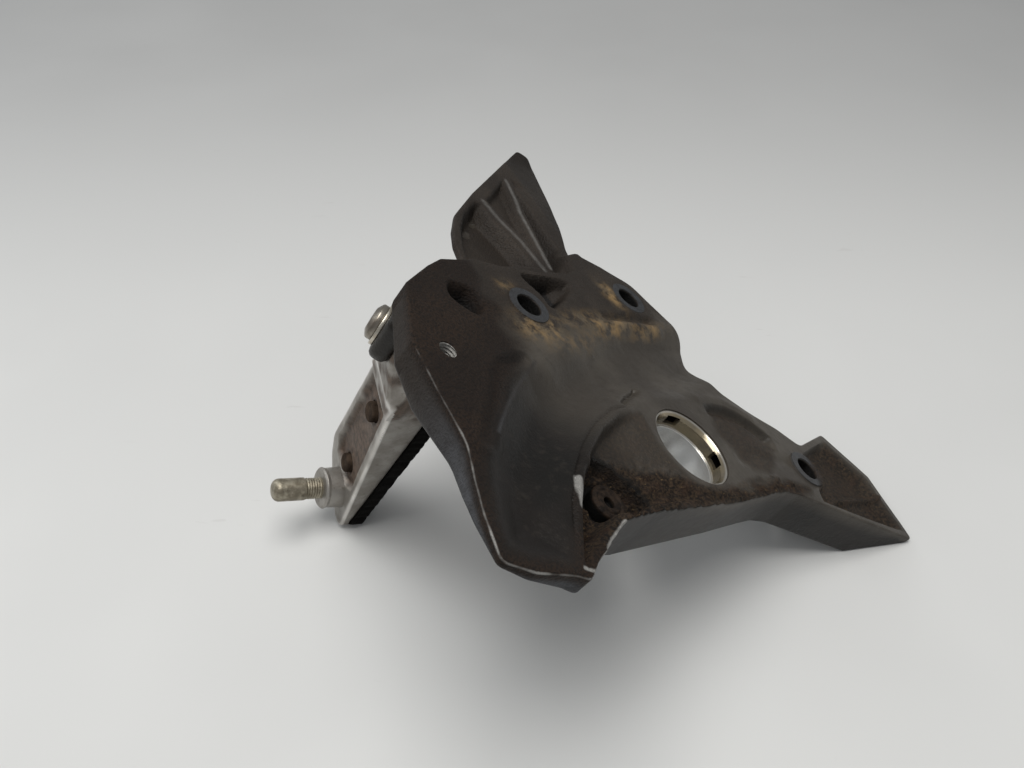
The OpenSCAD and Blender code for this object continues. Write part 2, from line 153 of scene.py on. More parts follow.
def value_noise(points, cell, seed):
    """Seeded values on a square lattice, blended between neighbours by the smooth step. Runs from -1 to 1."""
    table = np.random.default_rng(seed).uniform(-1, 1, (64, 64))
    grid = points / cell
    low = np.floor(grid).astype(int)
    tx, ty = ease(grid - low).T
    ix, iy = low.T % 64
    jx, jy = (ix + 1) % 64, (iy + 1) % 64
    return ((table[ix, iy] * (1 - tx) + table[jx, iy] * tx) * (1 - ty)
            + (table[ix, jy] * (1 - tx) + table[jx, jy] * tx) * ty)


def round_corners(corners, radii, step):
    """Closed outline whose corners become arcs, tangent to both sides, with points about step apart.
    An arc of turn t takes radius times tan(t/2) from each side, and at most 0.45 of the shorter side."""
    corners = np.asarray(corners, float)
    radii = np.broadcast_to(radii, len(corners))
    pieces = []
    for before, corner, after, radius in zip(np.roll(corners, 1, axis=0), corners,
                                             np.roll(corners, -1, axis=0), radii):
        back, ahead = before - corner, after - corner
        u, v = unit(back), unit(ahead)
        turn = math.pi - math.acos(np.clip(u @ v, -1, 1))
        if turn < 0.02:
            pieces.append(corner[None])
            continue
        reach = min(radius * math.tan(turn / 2), 0.45 * min(np.linalg.norm(back), np.linalg.norm(ahead)))
        radius = reach / math.tan(turn / 2)
        centre = corner + unit(u + v) * radius / math.cos(turn / 2)
        start, end = corner + u * reach - centre, corner + v * reach - centre
        share = np.linspace(0, 1, max(3, int(radius * turn / step) + 2))[:, None]
        arc = (np.sin((1 - share) * turn) * start + np.sin(share * turn) * end) / math.sin(turn)
        pieces.append(centre + arc)
    return resample(np.concatenate(pieces), step)


def resample(line, step):
    """Adds points on each long stretch of a closed line, so that none is longer than step."""
    ends = np.roll(line, -1, axis=0)
    counts = np.maximum(1, np.ceil(np.linalg.norm(ends - line, axis=1) / step)).astype(int)
    owner = np.repeat(np.arange(len(line)), counts)
    share = (np.arange(len(owner)) - np.repeat(np.cumsum(counts) - counts, counts)) / counts[owner]
    return line[owner] + share[:, None] * (ends - line)[owner]


def outward(ring):
    """Unit normals of a closed ring that runs anticlockwise: the chord across each point, turned by -90."""
    chord = np.roll(ring, -1, axis=0) - np.roll(ring, 1, axis=0)
    sides = np.stack([chord[:, 1], -chord[:, 0]], axis=1)
    return sides / np.linalg.norm(sides, axis=1)[:, None]


# Mesh building
def new_piece(name, axes, sheets):
    """Object from sheets of (points in mm, faces), welded where they meet and shaded smooth."""
    points = np.concatenate([p for p, _ in sheets])
    starts = np.cumsum([0] + [len(p) for p, _ in sheets[:-1]])
    faces = [f + s for (_, group), s in zip(sheets, starts) for f in np.asarray(group)]
    mesh = bpy.data.meshes.new(name)
    mesh.from_pydata(axes.to_row(points), [], faces)
    work = bmesh.new()
    work.from_mesh(mesh)
    bmesh.ops.remove_doubles(work, verts=work.verts, dist=WELD)
    bmesh.ops.recalc_face_normals(work, faces=work.faces)
    work.to_mesh(mesh)
    work.free()
    piece = bpy.data.objects.new(name, mesh)
    scene.collection.objects.link(piece)
    shade(piece)
    return piece


def shade(piece, angle=SMOOTH_BELOW):
    """Smooth shading with sharp edges where the faces turn by more than an angle."""
    piece.data.polygons.foreach_set("use_smooth", np.ones(len(piece.data.polygons), bool))
    piece.data.set_sharp_from_angle(angle=math.radians(angle))


def wrap(rows, cols, close_rows=False, close_cols=True):
    """Faces of a grid of points: each cell joins its four corners, and a closed side joins its ends."""
    r = np.arange(rows if close_rows else rows - 1)
    c = np.arange(cols if close_cols else cols - 1)
    r, c = np.meshgrid(r, c, indexing="ij")
    r, c = r.ravel(), c.ravel()
    r2, c2 = (r + 1) % rows, (c + 1) % cols
    return np.stack([r * cols + c, r * cols + c2, r2 * cols + c2, r2 * cols + c], axis=1)


def plan_sheet(ring, corners, step, height, loops=()):
    """Fills a closed ring in plan with staggered rows of points, step apart, keeps the ring and the crease
    loops as edges, and lifts every point to height(plan points)."""
    low, high = ring.min(0), ring.max(0)
    rows = np.arange(low[1], high[1], step * 0.866)
    columns = np.arange(low[0], high[0], step)
    gx, gy = np.meshgrid(columns, rows)
    gx = gx + np.where(np.arange(len(rows)) % 2, 0.5 * step, 0.0)[:, None]
    grid = np.stack([gx.ravel(), gy.ravel()], axis=1)
    inward = depth_in(grid, corners)
    near = np.flatnonzero(np.abs(inward) < 6)
    inward[near] = depth_in(grid[near], ring[::3])
    grid = grid[inward > 0.5 * step]
    start, edges = 0, []
    for loop in (ring, *loops):
        index = start + np.arange(len(loop))
        edges.append(np.stack([index, np.roll(index, -1)], axis=1))
        start += len(loop)
    for loop in loops:
        grid = grid[gap_to_line(grid, loop, closed=True) > 0.4 * step]
    plan = np.concatenate([ring, *loops, grid])
    points, _, faces, *_ = delaunay_2d_cdt(plan.tolist(), np.concatenate(edges).tolist(), [], 0, 1e-6, False)
    points, faces = np.array([tuple(p) for p in points]), np.array([tuple(f) for f in faces])
    # A face that joins ring points only lies outside the ring where it meets them in falling order
    a, b, c = faces.T
    rising = ((a < b) & (b < c)) | ((b < c) & (c < a)) | ((c < a) & (a < b))
    keep = rising | (faces >= len(ring)).any(1)
    return np.column_stack([points, height(points)]), faces[keep]


def slab(corners, radii, upper, lower, step, low_step, bend, low_bend, loops=(), nicks=0.0):
    """A plate between two height functions over a plan outline. Its rim leaves the upper sheet, turns down a
    quarter circle of radius bend, falls to the lower edge and turns under by low_bend. nicks moves the rim
    in and out by seeded noise."""
    ring = round_corners(corners, radii, step)
    out = outward(ring)
    ring = ring + out * nicks * value_noise(ring, 1.7, 61)[:, None]
    quarter = np.linspace(0, math.pi / 2, 4)
    rows = []
    for a in quarter:
        at = ring - out * bend * (1 - math.sin(a))
        rows.append(np.column_stack([at, upper(at) - bend * (1 - math.cos(a))]))
    top, foot = upper(ring) - bend, lower(ring) + low_bend
    for drop, share in ((0.45, 0.0), (0.3, 0.33), (0.0, 0.67)):
        level = np.maximum(top - drop, 0.5 * (top + foot)) * (1 - share) + foot * share
        rows.append(np.column_stack([ring, level]))
    for a in quarter[::-1]:
        at = ring - out * low_bend * (1 - math.sin(a))
        rows.append(np.column_stack([at, lower(at) + low_bend * (1 - math.cos(a))]))
    wall = (np.concatenate(rows), wrap(len(rows), len(ring)))
    inner = ring - out * bend
    under = ring - out * low_bend
    return [plan_sheet(inner, corners, step, upper, loops), wall, plan_sheet(under, corners, low_step, lower)]


def spun(profile, sides, centre=(0.0, 0.0), wave=None):
    """Profile of (radius, height) turned round an upright axis. Its ends close on the axis, or it closes on
    itself. wave(angle, radius, height) may move the radius."""
    profile = np.asarray(profile, float)
    angle = np.arange(sides) * 2 * math.pi / sides
    radius = np.repeat(profile[:, 0][:, None], sides, axis=1)
    height = np.repeat(profile[:, 1][:, None], sides, axis=1)
    if wave is not None:
        radius = wave(angle[None, :], radius, height)
    points = np.stack([centre[0] + radius * np.cos(angle), centre[1] + radius * np.sin(angle), height], axis=2)
    closed = profile[0, 0] > 1e-6
    return points.reshape(-1, 3), wrap(len(profile), sides, close_rows=closed)


def thread_wave(angle, height, pitch):
    """Triangle wave from 0 to 1 that climbs one pitch a turn: twice the distance to the nearest whole turn."""
    turns = height / pitch + angle / (2 * math.pi)
    return np.abs(turns - np.round(turns)) * 2


def soft_profile(corners, radii):
    """Profile whose corners are rounded. The first and last corners stay sharp on the axis."""
    corners = np.asarray(corners, float)
    inner = []
    for before, corner, after, radius in zip(corners[:-2], corners[1:-1], corners[2:], radii):
        u, v = unit(before - corner), unit(after - corner)
        turn = math.pi - math.acos(np.clip(u @ v, -1, 1))
        reach = min(radius * math.tan(turn / 2), 0.49 * np.linalg.norm(before - corner),
                    0.49 * np.linalg.norm(after - corner))
        share = np.linspace(0, 1, 5)[:, None]
        inner.append((1 - share) ** 2 * (corner + u * reach) + 2 * share * (1 - share) * corner
                     + share ** 2 * (corner + v * reach))
    return np.concatenate([corners[:1], *inner, corners[-1:]])


def rod(name, axes, radius, low, high, centre=(0.0, 0.0), sides=96):
    """A plain closed cylinder, used as a drill."""
    profile = [(0, low), (radius, low), (radius, high), (0, high)]
    return new_piece(name, axes, [spun(profile, sides, centre)])


def block(name, axes, low, high):
    """A closed box between two corners, used to cut a slot."""
    spans = list(zip(low, high))
    corners = np.array([[x, y, z] for x in spans[0] for y in spans[1] for z in spans[2]])
    faces = [[0, 1, 3, 2], [4, 6, 7, 5], [0, 4, 5, 1], [2, 3, 7, 6], [0, 2, 6, 4], [1, 5, 7, 3]]
    return new_piece(name, axes, [(corners, np.array(faces))])


def work_on(piece, steps, smooth_angle=SMOOTH_BELOW):
    """Adds or cuts each tool in turn, then keeps the result as the piece's mesh."""
    for way, tool in steps:
        change = piece.modifiers.new(way.lower(), "BOOLEAN")
        change.operation, change.object, change.solver = way, tool, "MANIFOLD"
    settle(piece, smooth_angle)
    for _, tool in steps:
        bpy.data.objects.remove(tool)
    return piece


def joins(*tools):
    """Steps that add each tool."""
    return [("UNION", tool) for tool in tools]


def cuts(*tools):
    """Steps that cut each tool away."""
    return [("DIFFERENCE", tool) for tool in tools]


def settle(piece, smooth_angle):
    """Applies a piece's modifiers to its mesh."""
    bpy.context.view_layer.update()
    mesh = bpy.data.meshes.new_from_object(piece.evaluated_get(bpy.context.evaluated_depsgraph_get()))
    piece.modifiers.clear()
    old, piece.data = piece.data, mesh
    bpy.data.meshes.remove(old)
    shade(piece, smooth_angle)


# Cast arm, in PLATE coordinates, millimetres
FACE = -0.6
FLANK = 16.8
KEEL = -21.0
FIN_TOP = -4.0
FIN_LOW = -11.0
FIN_THIN_RIM = 4.3
CHANNEL_DEPTH = 3.9
SHELF_DEPTH = 4.4
STEP_DEPTH = 4.0
MOAT_FLOOR = -10.4
TRAY_DEPTH = 3.5
POCKET_DEPTH = 7.4
HOLE_R = 4.25
SPOT_FACE_R = 8.5
RING_R = 7.05
BUSH_R = 14.0
BUSH_BORE = 12.4
BUSH_SLOTS = (63, -30, 243, 150)
STUD_AT = (-21.2, -62.3)
PIT_AT = (-38.3, -67.0)
PIN_R = 4.0
LUG_R = 9.0
LUG_THICK = 6.0
LUG_GAP = 8.2
LUG_STARTS = {"rear_lug": LUG_GAP, "front_lug": -LUG_GAP - LUG_THICK}
EYE_ROOM_R = 10.2
SCREW_R = 2.5
SCREW_PITCH = 1.0
BUSH_WALL_R = 11.5
BUSH_FOOT = -25.0

ARM_OUTLINE = np.array(
    [(-22.3, 20), (-29.8, 17.4), (-42.5, 11.5), (-43.8, 10.4), (-50.1, 0.5), (-55.6, -7.9), (-59, -23.4),
     (-61.6, -38.7), (-66.9, -47.4), (-70.8, -55), (-74.8, -65.9), (-68, -71.1), (-57.5, -75.6), (-54, -77.9),
     (-48.3, -75.3), (-34.3, -71), (-28.6, -69.8), (-15, -71.5), (24, -79.6), (45.6, -82.6), (54.9, -84.1),
     (62.1, -87.1), (70.7, -92.8), (96, -110), (113.3, -121.3), (123.7, -95.6), (116, -73.5), (91.8, -73.5),
     (85.4, -64.2), (74.4, -53.6), (68, -45), (66.3, -37), (68, -29.8), (77.4, -20.2), (70.3, 6.8),
     (60.4, 15.9), (52.2, 21.7), (54.0, 27.4), (65.2, 40.9), (77.5, 60), (88.6, 78.8), (87.2, 83.4),
     (81.4, 86), (75.2, 82.8), (54.3, 71.2), (26.4, 55.8), (7.6, 44.2), (0, 36.6), (-4.6, 30.2),
     (-7.2, 23.8), (-10, 19.6)])
ARM_RADII = np.array([3, 3, 1.5, 1.5, 2.5, 2.5, 30, 14, 14, 14, 2, 8, 2, 2, 3, 5, 6, 30, 30, 20, 14, 10, 20,
                      20, 1.5, 2, 2, 5, 14, 14, 9, 9, 12, 6, 9, 8, 2.6, 14, 30, 30, 4, 3, 3, 8, 30, 20, 12,
                      9, 8, 6, 1])
CHANNEL = [(84, -15), (66, -12.2), (38, -8.8), (12, -13), (-13, -20), (-24, -20.6), (-33, -25), (-46, -33.5),
           (-57, -41), (-63.5, -48.5), (-69, -57), (-71.8, -64.2), (-66.5, -68.5), (-57, -73), (-54.5, -72.8),
           (-48, -66.4), (-41, -60), (-32, -53.5), (-21.7, -47.9), (-10.5, -43.5), (2, -41), (14, -40.6),
           (27, -41), (44, -44), (62, -42), (72, -40), (86, -30)]
HOOK = [(-21.7, -18.7), (-30.6, -19.2), (-35.3, -22.1), (-41.1, -27.9), (-49.0, -34.3), (-55.0, -39.3)]
RECESS = [(14, -42.3), (1.5, -41.6), (-10.5, -44.3), (-21.7, -48.9), (-31.2, -54.4), (-40.2, -61.2),
          (-46.8, -67.6), (-52.4, -73.2), (-53.6, -76.4), (-48.3, -73.6), (-34.3, -69.4), (-28.6, -68.2),
          (-15, -69.6), (8, -74.6), (24, -77.4), (40, -79.6), (52, -80.2), (48, -75), (38, -73.8),
          (22, -74.2), (13, -70), (9.6, -62), (9.2, -54), (12.8, -46.5)]
DEEP_FLOOR = [(-18.5, -49.8), (-26, -53.6), (-31, -56.8), (-38, -62.6), (-43.5, -68), (-42.5, -70.8),
              (-34, -68.6), (-28, -67.4), (-17, -69.0), (-10, -69.8), (-9.8, -66.1), (-11.2, -60.8),
              (-13.1, -56.3), (-15.3, -52.4)]
STEP_FOOT = [(-17.4, -50.2), (-14.4, -53.0), (-12.2, -57.0), (-10.2, -61.6), (-9.2, -67)]
DIRT_ZONE = [(-46, -72.5), (-32, -58), (-20, -51), (-12.5, -52.5), (-6, -56), (0, -60.5), (7, -65), (14, -70),
             (24, -74.5), (34, -77.6), (54, -79), (72, -87.5), (50, -84), (20, -79.5), (-15, -71.5)]
SCRATCH = [(-16.5, -19.8), (-29.5, -25.7), (-39.8, -31.2), (-45.8, -35.1), (-49.4, -37.7)]
POCKET_LEFT = [(-26.3, 12.1), (-29.5, 8.8), (-30.7, 5.4), (-29.1, 2.4), (-27.3, -0.3), (-24.8, -2.3),
               (-20.9, -1.8), (-16.7, 3.3), (-18.9, 9.2)]
POCKET_RIGHT = [(7.9, 14.0), (18.9, 12.4), (28.2, 10.8), (32.6, 8.8), (29.4, 4.4), (21.8, 1.2), (12.2, -2.4),
                (9.6, -1.0), (10.6, 3.7), (9.0, 8.9)]
FIN_STEP = [(-60, 24), (-22.4, 21.6), (-14.9, 21.0), (-5.9, 19.4), (1.5, 17.0), (10.4, 15.6), (19.3, 14.0),
            (35.9, 13.2), (41, 14.2), (43.4, 17.6), (46.4, 21.6), (51.5, 22.4), (58, 21.4),
            (70, 17), (120, 15), (120, 120), (-60, 120)]
FIN_LEFT = [(-7.4, 20.2), (-2.8, 29.2), (4.1, 38.4), (12.6, 45.9), (23.3, 51.7), (26.5, 50.4), (25.8, 42.5),
            (27.6, 31.4), (27.9, 19.1)]
FIN_MIDDLE = [(33.6, 16.7), (34.2, 31.1), (31.4, 41.8), (30.3, 52.8), (53.3, 66.3), (49.8, 59.3), (43.8, 45.6),
              (34.5, 21.0)]
FIN_GROOVE = [(55.4, 63.2), (55.6, 51.2), (51.7, 35.7), (50.6, 28.0), (44.6, 20.2), (37.6, 14.9), (35.3, 17.1),
              (41.9, 32.8), (48.5, 48.6)]
FIN_FLOORS = ((FIN_LEFT, 5.2, 4.4), (FIN_MIDDLE, 3.0, 2.6), (FIN_GROOVE, 5.4, 3.4))
FIN_PITS = (((20.5, 47), 2.6, 1.3), ((12.6, 40.5), 2.2, 1.2), ((58.5, 63), 1.8, 1.0))
SIDE_BROW = [(50, -46.8), (56, -47.6), (61.9, -49.8), (67, -53.4), (71.8, -58.3), (74.6, -62.9), (75.9, -66.2)]
SIDE_GROOVE = [*SIDE_BROW, (73, -71.5), (66, -76.5), (56, -79), (46, -74), (43, -58)]


def tail(*pairs):
    """Plan places given from the tail bolt hole."""
    return BOLT_C + np.array(pairs, float)


TRAY = tail((7, 5.4), (32.6, 5.8), (40.6, -14), (31.6, -36.4), (13, -24.8), (-7, -11.6))
TRAY_RIDGE = tail((5, -13.5), (22, -17.8), (38.6, -22.6))
TRAY_SCAR = tail((2, -11), (9, -15.5))


def inner_face(p):
    """Height of the face that meets the frame. It starts as a plane with a slight cast waviness; the channel,
    pockets and recess take depth times the smooth step of the distance inside their outlines, ribs and lumps
    add bell curves, and the machined rings are flat again."""
    x, y = p.T
    z = FACE + 0.10 * value_noise(p, 17.0, 3) + 0.05 * value_noise(p, 6.0, 4)
    from_a, from_b, from_c = (gap_to(p, hole) for hole in (BOLT_A, BOLT_B, BOLT_C))
    from_pivot = gap_to(p, PIVOT)

    # The broad channel, the hook-shaped groove with its lip, and the ridge and gutter below the second hole
    z -= CHANNEL_DEPTH * ease((depth_in(p, CHANNEL) + 0.4) / 11.5)
    z += 0.35 * hump(gap_to_line(p, HOOK) - 3.2, 1.4) + stroke(p, HOOK, -0.55, 1.7)
    z += stroke(p, [(37, -6.6), (45, -7.8), (54, -9.3), (61, -11)], -1.3, 1.5)
    z += stroke(p, [(8, -9.6), (22, -9.4), (36, -10.6), (52, -13), (64, -15)], 0.55, 2.2)

    # Soft collars round the bolt holes, and the raised lip round the pivot
    z += 0.5 * hump(from_b - 8.0, 3.0) + 0.35 * hump(from_a - 8.5, 3.0)
    lip = ease((21.5 - from_pivot) / 6.0)
    z = z * (1 - lip) + np.maximum(z, FACE - 0.5) * lip
    z += stroke(p, [(9.5, -38.6), (14.3, -37.0), (20.5, -35.9), (23.5, -34.9)], -1.5, 0.8)

    # Recess: a crisp rim, a shelf that fades towards the bush, a step down and the gap round the stud
    shelf = depth_in(p, RECESS)
    fade = (1 - 0.8 * ease((x + 8) / 22.0)) * (0.12 + 0.88 * ease((from_pivot - 15.0) / 12.0))
    z -= SHELF_DEPTH * ease(shelf / 3.2) * fade
    arc = ease((14 - x) / 8.0) * ease((y + 70) / 6.0)
    z -= 0.55 * hump(shelf + 1.9, 0.5) * arc
    z += 0.35 * ease((shelf + 1.7) / 0.6) * (1 - ease(shelf / 1.2)) * arc
    z -= STEP_DEPTH * ease(depth_in(p, DEEP_FLOOR) / 1.5)
    moat = ease((7.9 - gap_to(p, STUD_AT)) / 0.9) * ease((y + 69.4) / 0.8)
    z = z * (1 - moat) + np.minimum(z, MOAT_FLOOR) * moat
    z -= 2.0 * hump(gap_to(p, PIT_AT), 2.0)

    # Depression right of the pivot, deepest under its brow
    z += ease(depth_in(p, SIDE_GROOVE) / 2.0) * stroke(p, SIDE_BROW, -3.2, 5.0) * ease((x - 46) / 10.0)
    z += stroke(p, [(50, -44.6), (57, -45.4), (63.2, -47.7), (68.7, -51.8), (73.6, -57)], 0.4, 1.8)
    z += stroke(p, [(46, -68.5), (58, -69.5), (68, -74.5), (74, -76.5)], -0.7, 2.2)

    # Tail tray with its cross ridge
    tray = depth_in(p, TRAY)
    right = gap_to_line(p, TRAY[1:4])
    z -= TRAY_DEPTH * ease(tray / 1.8) * ease(right / 6.5) * ease((from_c - 7.6) / 2.2)
    z += stroke(p, TRAY_RIDGE, 1.5, 1.3) * ease(tray / 2.0) + stroke(p, TRAY_SCAR, -1.2, 1.6)

    # Pockets beside the first bolt hole
    z -= POCKET_DEPTH * ease(depth_in(p, round_corners(POCKET_LEFT, 5.0, 1.0)) / 3.8)
    shallower = 1 - 0.6 * ease((x - 20.0) / 9.0)
    z -= POCKET_DEPTH * ease(depth_in(p, round_corners(POCKET_RIGHT, 2.5, 1.0)) / 2.6) * shallower

    # Heel guard fin: its top, three floors between the ribs, pits and the chamfer down its right flank
    floor = FIN_TOP + 0.08 * value_noise(p, 9.0, 5)
    for outline, depth, slope in FIN_FLOORS:
        floor -= depth * ease(depth_in(p, outline) / slope)
    for spot, size, drop in FIN_PITS:
        floor -= drop * hump(gap_to(p, spot), size)
    flank = (x - 57.2 - 0.127 * (y - 25.0)) * 0.99
    flank = 0.5 * (flank + np.sqrt(flank ** 2 + 0.7))
    floor -= 0.13 * flank * ease((y - 21) / 8.0) * ease((86 - y) / 8.0)
    fin = ease((depth_in(p, FIN_STEP) + 0.2) / (2.0 + 1.4 * ease((x - 38) / 10.0)))
    z = z * (1 - fin) + np.minimum(floor, z) * fin

    # Lumps of caked dirt
    soiled = depth_in(p, DIRT_ZONE)
    patch = np.flatnonzero(soiled > -3)
    picks = np.random.default_rng(11).uniform((-48, -84), (66, -46), (900, 2))
    picks = picks[depth_in(picks, DIRT_ZONE) > -1.5]
    sizes = np.random.default_rng(12).uniform(0.45, 1.35, len(picks))
    rise = np.zeros(len(patch))
    for pick, size in zip(picks, sizes):
        rise = np.maximum(rise, 0.85 * size * hump(gap_to(p[patch], pick), size))
    z[patch] += rise * ease((from_pivot[patch] - 15.2) / 1.5)

    # Machined rings and the landing round the pivot bush
    z = np.where(np.minimum(np.minimum(from_a, from_b), from_c) <= RING_R + 0.02, 0.0, z)
    return np.where(from_pivot < BUSH_R + 1.0, np.maximum(z, FACE - 0.3), z)


def plane_through(a, b, c):
    """Height of the plane through three points, as a function of plan points."""
    a, b, c = (np.array(v, float) for v in (a, b, c))
    n = np.cross(b - a, c - a)
    return lambda p: a[2] - ((p - a[:2]) @ n[:2]) / n[2]


def outer_face(p):
    """Height of the outer face: the highest of the flat flank and the sloping planes of toe, left edge and
    tail, with the keel below them and the thinner fin beyond the step."""
    toe_tip, toe_low = (-74.8, -65.9, -3.0), (-54, -77.9, -7.2)
    low = np.full(len(p), -FLANK)
    for cut in (plane_through(toe_tip, toe_low, (-61.6, -38.7, -9.0)),
                plane_through((-44.5, 9.4, -9.0), (-59, -23.4, -12.0), (-4, -2, -14.0)),
                plane_through((96, -110, -FLANK), (113.3, -121.3, -2.7), (123.7, -95.6, -6.4))):
        low = np.maximum(low, cut(p))
    keel = np.maximum(KEEL, plane_through(toe_tip, toe_low, (-15, -71.5, KEEL))(p))
    keel = np.maximum(keel, plane_through((-15, -71.5, KEEL), (24, -79.6, -FLANK), (-15, -30, -9.0))(p))
    in_keel = depth_in(p, [(-60, -84), (-34, -90), (24, -90), (24, -79.6), (19, -52.6), (-20, -30), (-40, -38)])
    low = np.where(in_keel > 0, np.minimum(low, keel), low)
    beyond = ease((depth_in(p, FIN_STEP) - 1.0) / 2.5)
    from_left = ease(gap_to_line(p, ARM_OUTLINE[42:]) / 9.0)
    fin_low = FIN_LOW + FIN_THIN_RIM - FIN_THIN_RIM * from_left
    low = low * (1 - beyond) + np.maximum(low, fin_low) * beyond
    return np.minimum(low, inner_face(p) - 2.2)


def circle(centre, radius, step):
    """Run of points round a circle."""
    count = int(2 * math.pi * radius / step)
    angle = np.arange(count) * 2 * math.pi / count
    return np.asarray(centre) + radius * np.stack([np.cos(angle), np.sin(angle)], axis=1)


def flat(level):
    """Height function of a level face."""
    return lambda p: np.full(len(p), level)


def lug_blank(name, start):
    """Clevis lug: a flat plate with a round end round the pin, run back into the arm."""
    outline = [(LUG_R, -LUG_R), (LUG_R, LUG_R), (-13, LUG_R), (-13, -LUG_R)]
    return new_piece(name, HINGE, slab(outline, [8.9, 8.9, 2.8, 2.8], flat(start + LUG_THICK), flat(start),
                                       0.8, 1.5, 2.2, 2.2))


def small_thread():
    """Cutter for the threaded hole: its radius follows the thread's wave."""
    levels = np.linspace(-7.0, 1.0, 90)
    profile = np.concatenate([[(0, -7.6)], np.column_stack([np.full(90, SCREW_R), levels]), [(0, 1.0)]])

    def ridges(angle, radius, height):
        """Below the mouth, the radius grows by 0.42 times the thread's wave."""
        cut = (radius > 1) & (height < 0.5)
        return radius + np.where(cut, 0.42 * thread_wave(angle, height, SCREW_PITCH), 0.0)

    return new_piece("thread_cutter", PLATE, [spun(profile, 64, SMALL_HOLE, ridges)])


def make_hanger():
    """Arm and fin as one slab, with lugs and pivot boss added, then every bore cut."""
    rings = [circle(hole, RING_R + grow, 0.55) for hole in (BOLT_A, BOLT_B, BOLT_C) for grow in (0.0, 0.14)]
    arm = new_piece("hanger_casting", PLATE,
                    slab(ARM_OUTLINE, ARM_RADII, inner_face, outer_face, 0.62, 1.6, 0.55, 1.1, rings))
    boss = new_piece("boss", PLATE, [spun(soft_profile(
        [(0, BUSH_FOOT), (17.5, BUSH_FOOT), (17.5, -12), (20.5, -4), (0, -4)], [1.2, 9, 1]), 128, PIVOT)])
    steps = joins(boss, *[lug_blank(name, start) for name, start in LUG_STARTS.items()])
    steps += cuts(rod("eye_room", HINGE, EYE_ROOM_R, -LUG_GAP, LUG_GAP),
                  rod("pin_bore", HINGE, PIN_R, -20.0, 20.0, sides=64),
                  rod("bush_bore", PLATE, BUSH_R, -27.0, 5.0, PIVOT, 128), small_thread())
    for i, hole in enumerate((BOLT_A, BOLT_B, BOLT_C)):
        drill = soft_profile([(0, -40), (SPOT_FACE_R, -40), (SPOT_FACE_R, -10.5), (HOLE_R, -10.5),
                              (HOLE_R, -1.1), (4.26, -0.5), (4.5, -0.05), (4.5, 5), (0, 5)],
                             [0.1, 0.3, 0.2, 0.1, 0.1, 0.1, 0.1])
        steps += cuts(new_piece("drill_%d" % i, PLATE, [spun(drill, 96, hole)]))
    steps += cuts(*[slot_cutter(degrees, 16.6) for degrees in BUSH_SLOTS])
    return work_on(arm, steps)


# Turned pieces
def slot_cutter(degrees, reach):
    """Box that cuts one of the slots under the bush's rim, turned round the pivot."""
    turn = math.radians(degrees)
    x_way = PLATE.turn([math.cos(turn), math.sin(turn), 0])
    y_way = PLATE.turn([-math.sin(turn), math.cos(turn), 0])
    slot_axes = Axes(PLATE.to_row([[*PIVOT, 0]])[0] / MM, x_way, y_way, normal)
    return block("slot_cutter", slot_axes, (4, -2.8, -5.0), (reach, 2.8, -2.0))


def make_bush():
    """Steel bush: a ring profile with a rounded rim and an inner step, cut by four slots under the rim."""
    profile = soft_profile([(BUSH_WALL_R, BUSH_FOOT), (BUSH_R, BUSH_FOOT), (BUSH_R, -1), (13.5, -1),
                            (BUSH_BORE, -2.4), (BUSH_BORE, -6), (BUSH_WALL_R, -6), (BUSH_WALL_R, BUSH_FOOT)],
                           [0.5, 0.3, 0.2, 0.6, 0.15, 0.35])[:-1]
    bush = new_piece("pivot_bush_steel", PLATE, [spun(profile, 160, PIVOT)])
    return work_on(bush, cuts(*[slot_cutter(degrees, 16.0) for degrees in BUSH_SLOTS]), 30)


def make_stud():
    """Stop stud: a worn round head with turned ridges and a drilled dimple."""
    profile = soft_profile([(0, -8.6), (1.7, -8.0), (1.7, -6.4), (3.2, -6.1), (3.7, -6.45), (4.3, -6.05),
                            (5.5, -6.3), (5.5, -11.2), (0, -11.2)], [0.2, 0.3, 0.3, 0.2, 0.3, 0.6, 0.2])
    return new_piece("stop_stud_head", PLATE, [spun(profile, 72, STUD_AT)])


def make_pin():
    """Clevis pin: a low domed head, a long shank, a clip groove and a rounded tail."""
    profile = soft_profile([(0, -17.7), (PIN_R, -17.7), (PIN_R, -15.5), (3, -15.5), (3, -14.5), (PIN_R, -14.5),
                            (PIN_R, 15.4), (5.5, 15.4), (5.5, 17.1), (3.4, 18.3), (0, 18.4)],
                           [0.8, 0.1, 0.1, 0.1, 0.1, 0.3, 0.3, 0.8, 2.2])
    return new_piece("hinge_pin_steel", HINGE, [spun(profile, 96)])


def make_washer():
    """Washer: a flat ring with rolled edges."""
    corners = [(4.02, 14.2), (6.5, 14.2), (6.5, 15.4), (4.02, 15.4), (4.02, 14.2)]
    profile = soft_profile(corners, [0.35, 0.35, 0.2])[:-1]
    return new_piece("pin_washer_steel", HINGE, [spun(profile, 96)])


# Footrest, in PEG coordinates: u along it, v across it, w through it
PEG_LONG = 95.0
PEG_MID = -1.6
NECK_U = 16.0
UNDER_IN = -7.5
TOP_W = 6.5
UNDER_OUT = TOP_W - 3.4
BOSS = (84.0, -5.0)
STUDS = (32.9, 70.5)
STUD_R = 3.38
STUD_HOLE_R = 3.7
EYE_R = 8.2
EYE_BORE_R = 4.2
EYE_ENDS = (7.9 - 10.4, 7.9)
PAD_START = 19.0
PAD_END = PEG_LONG - 3.5
PAD_THICK = 5.1
PAD_RIBS = 9
FEELER_PITCH = 0.9


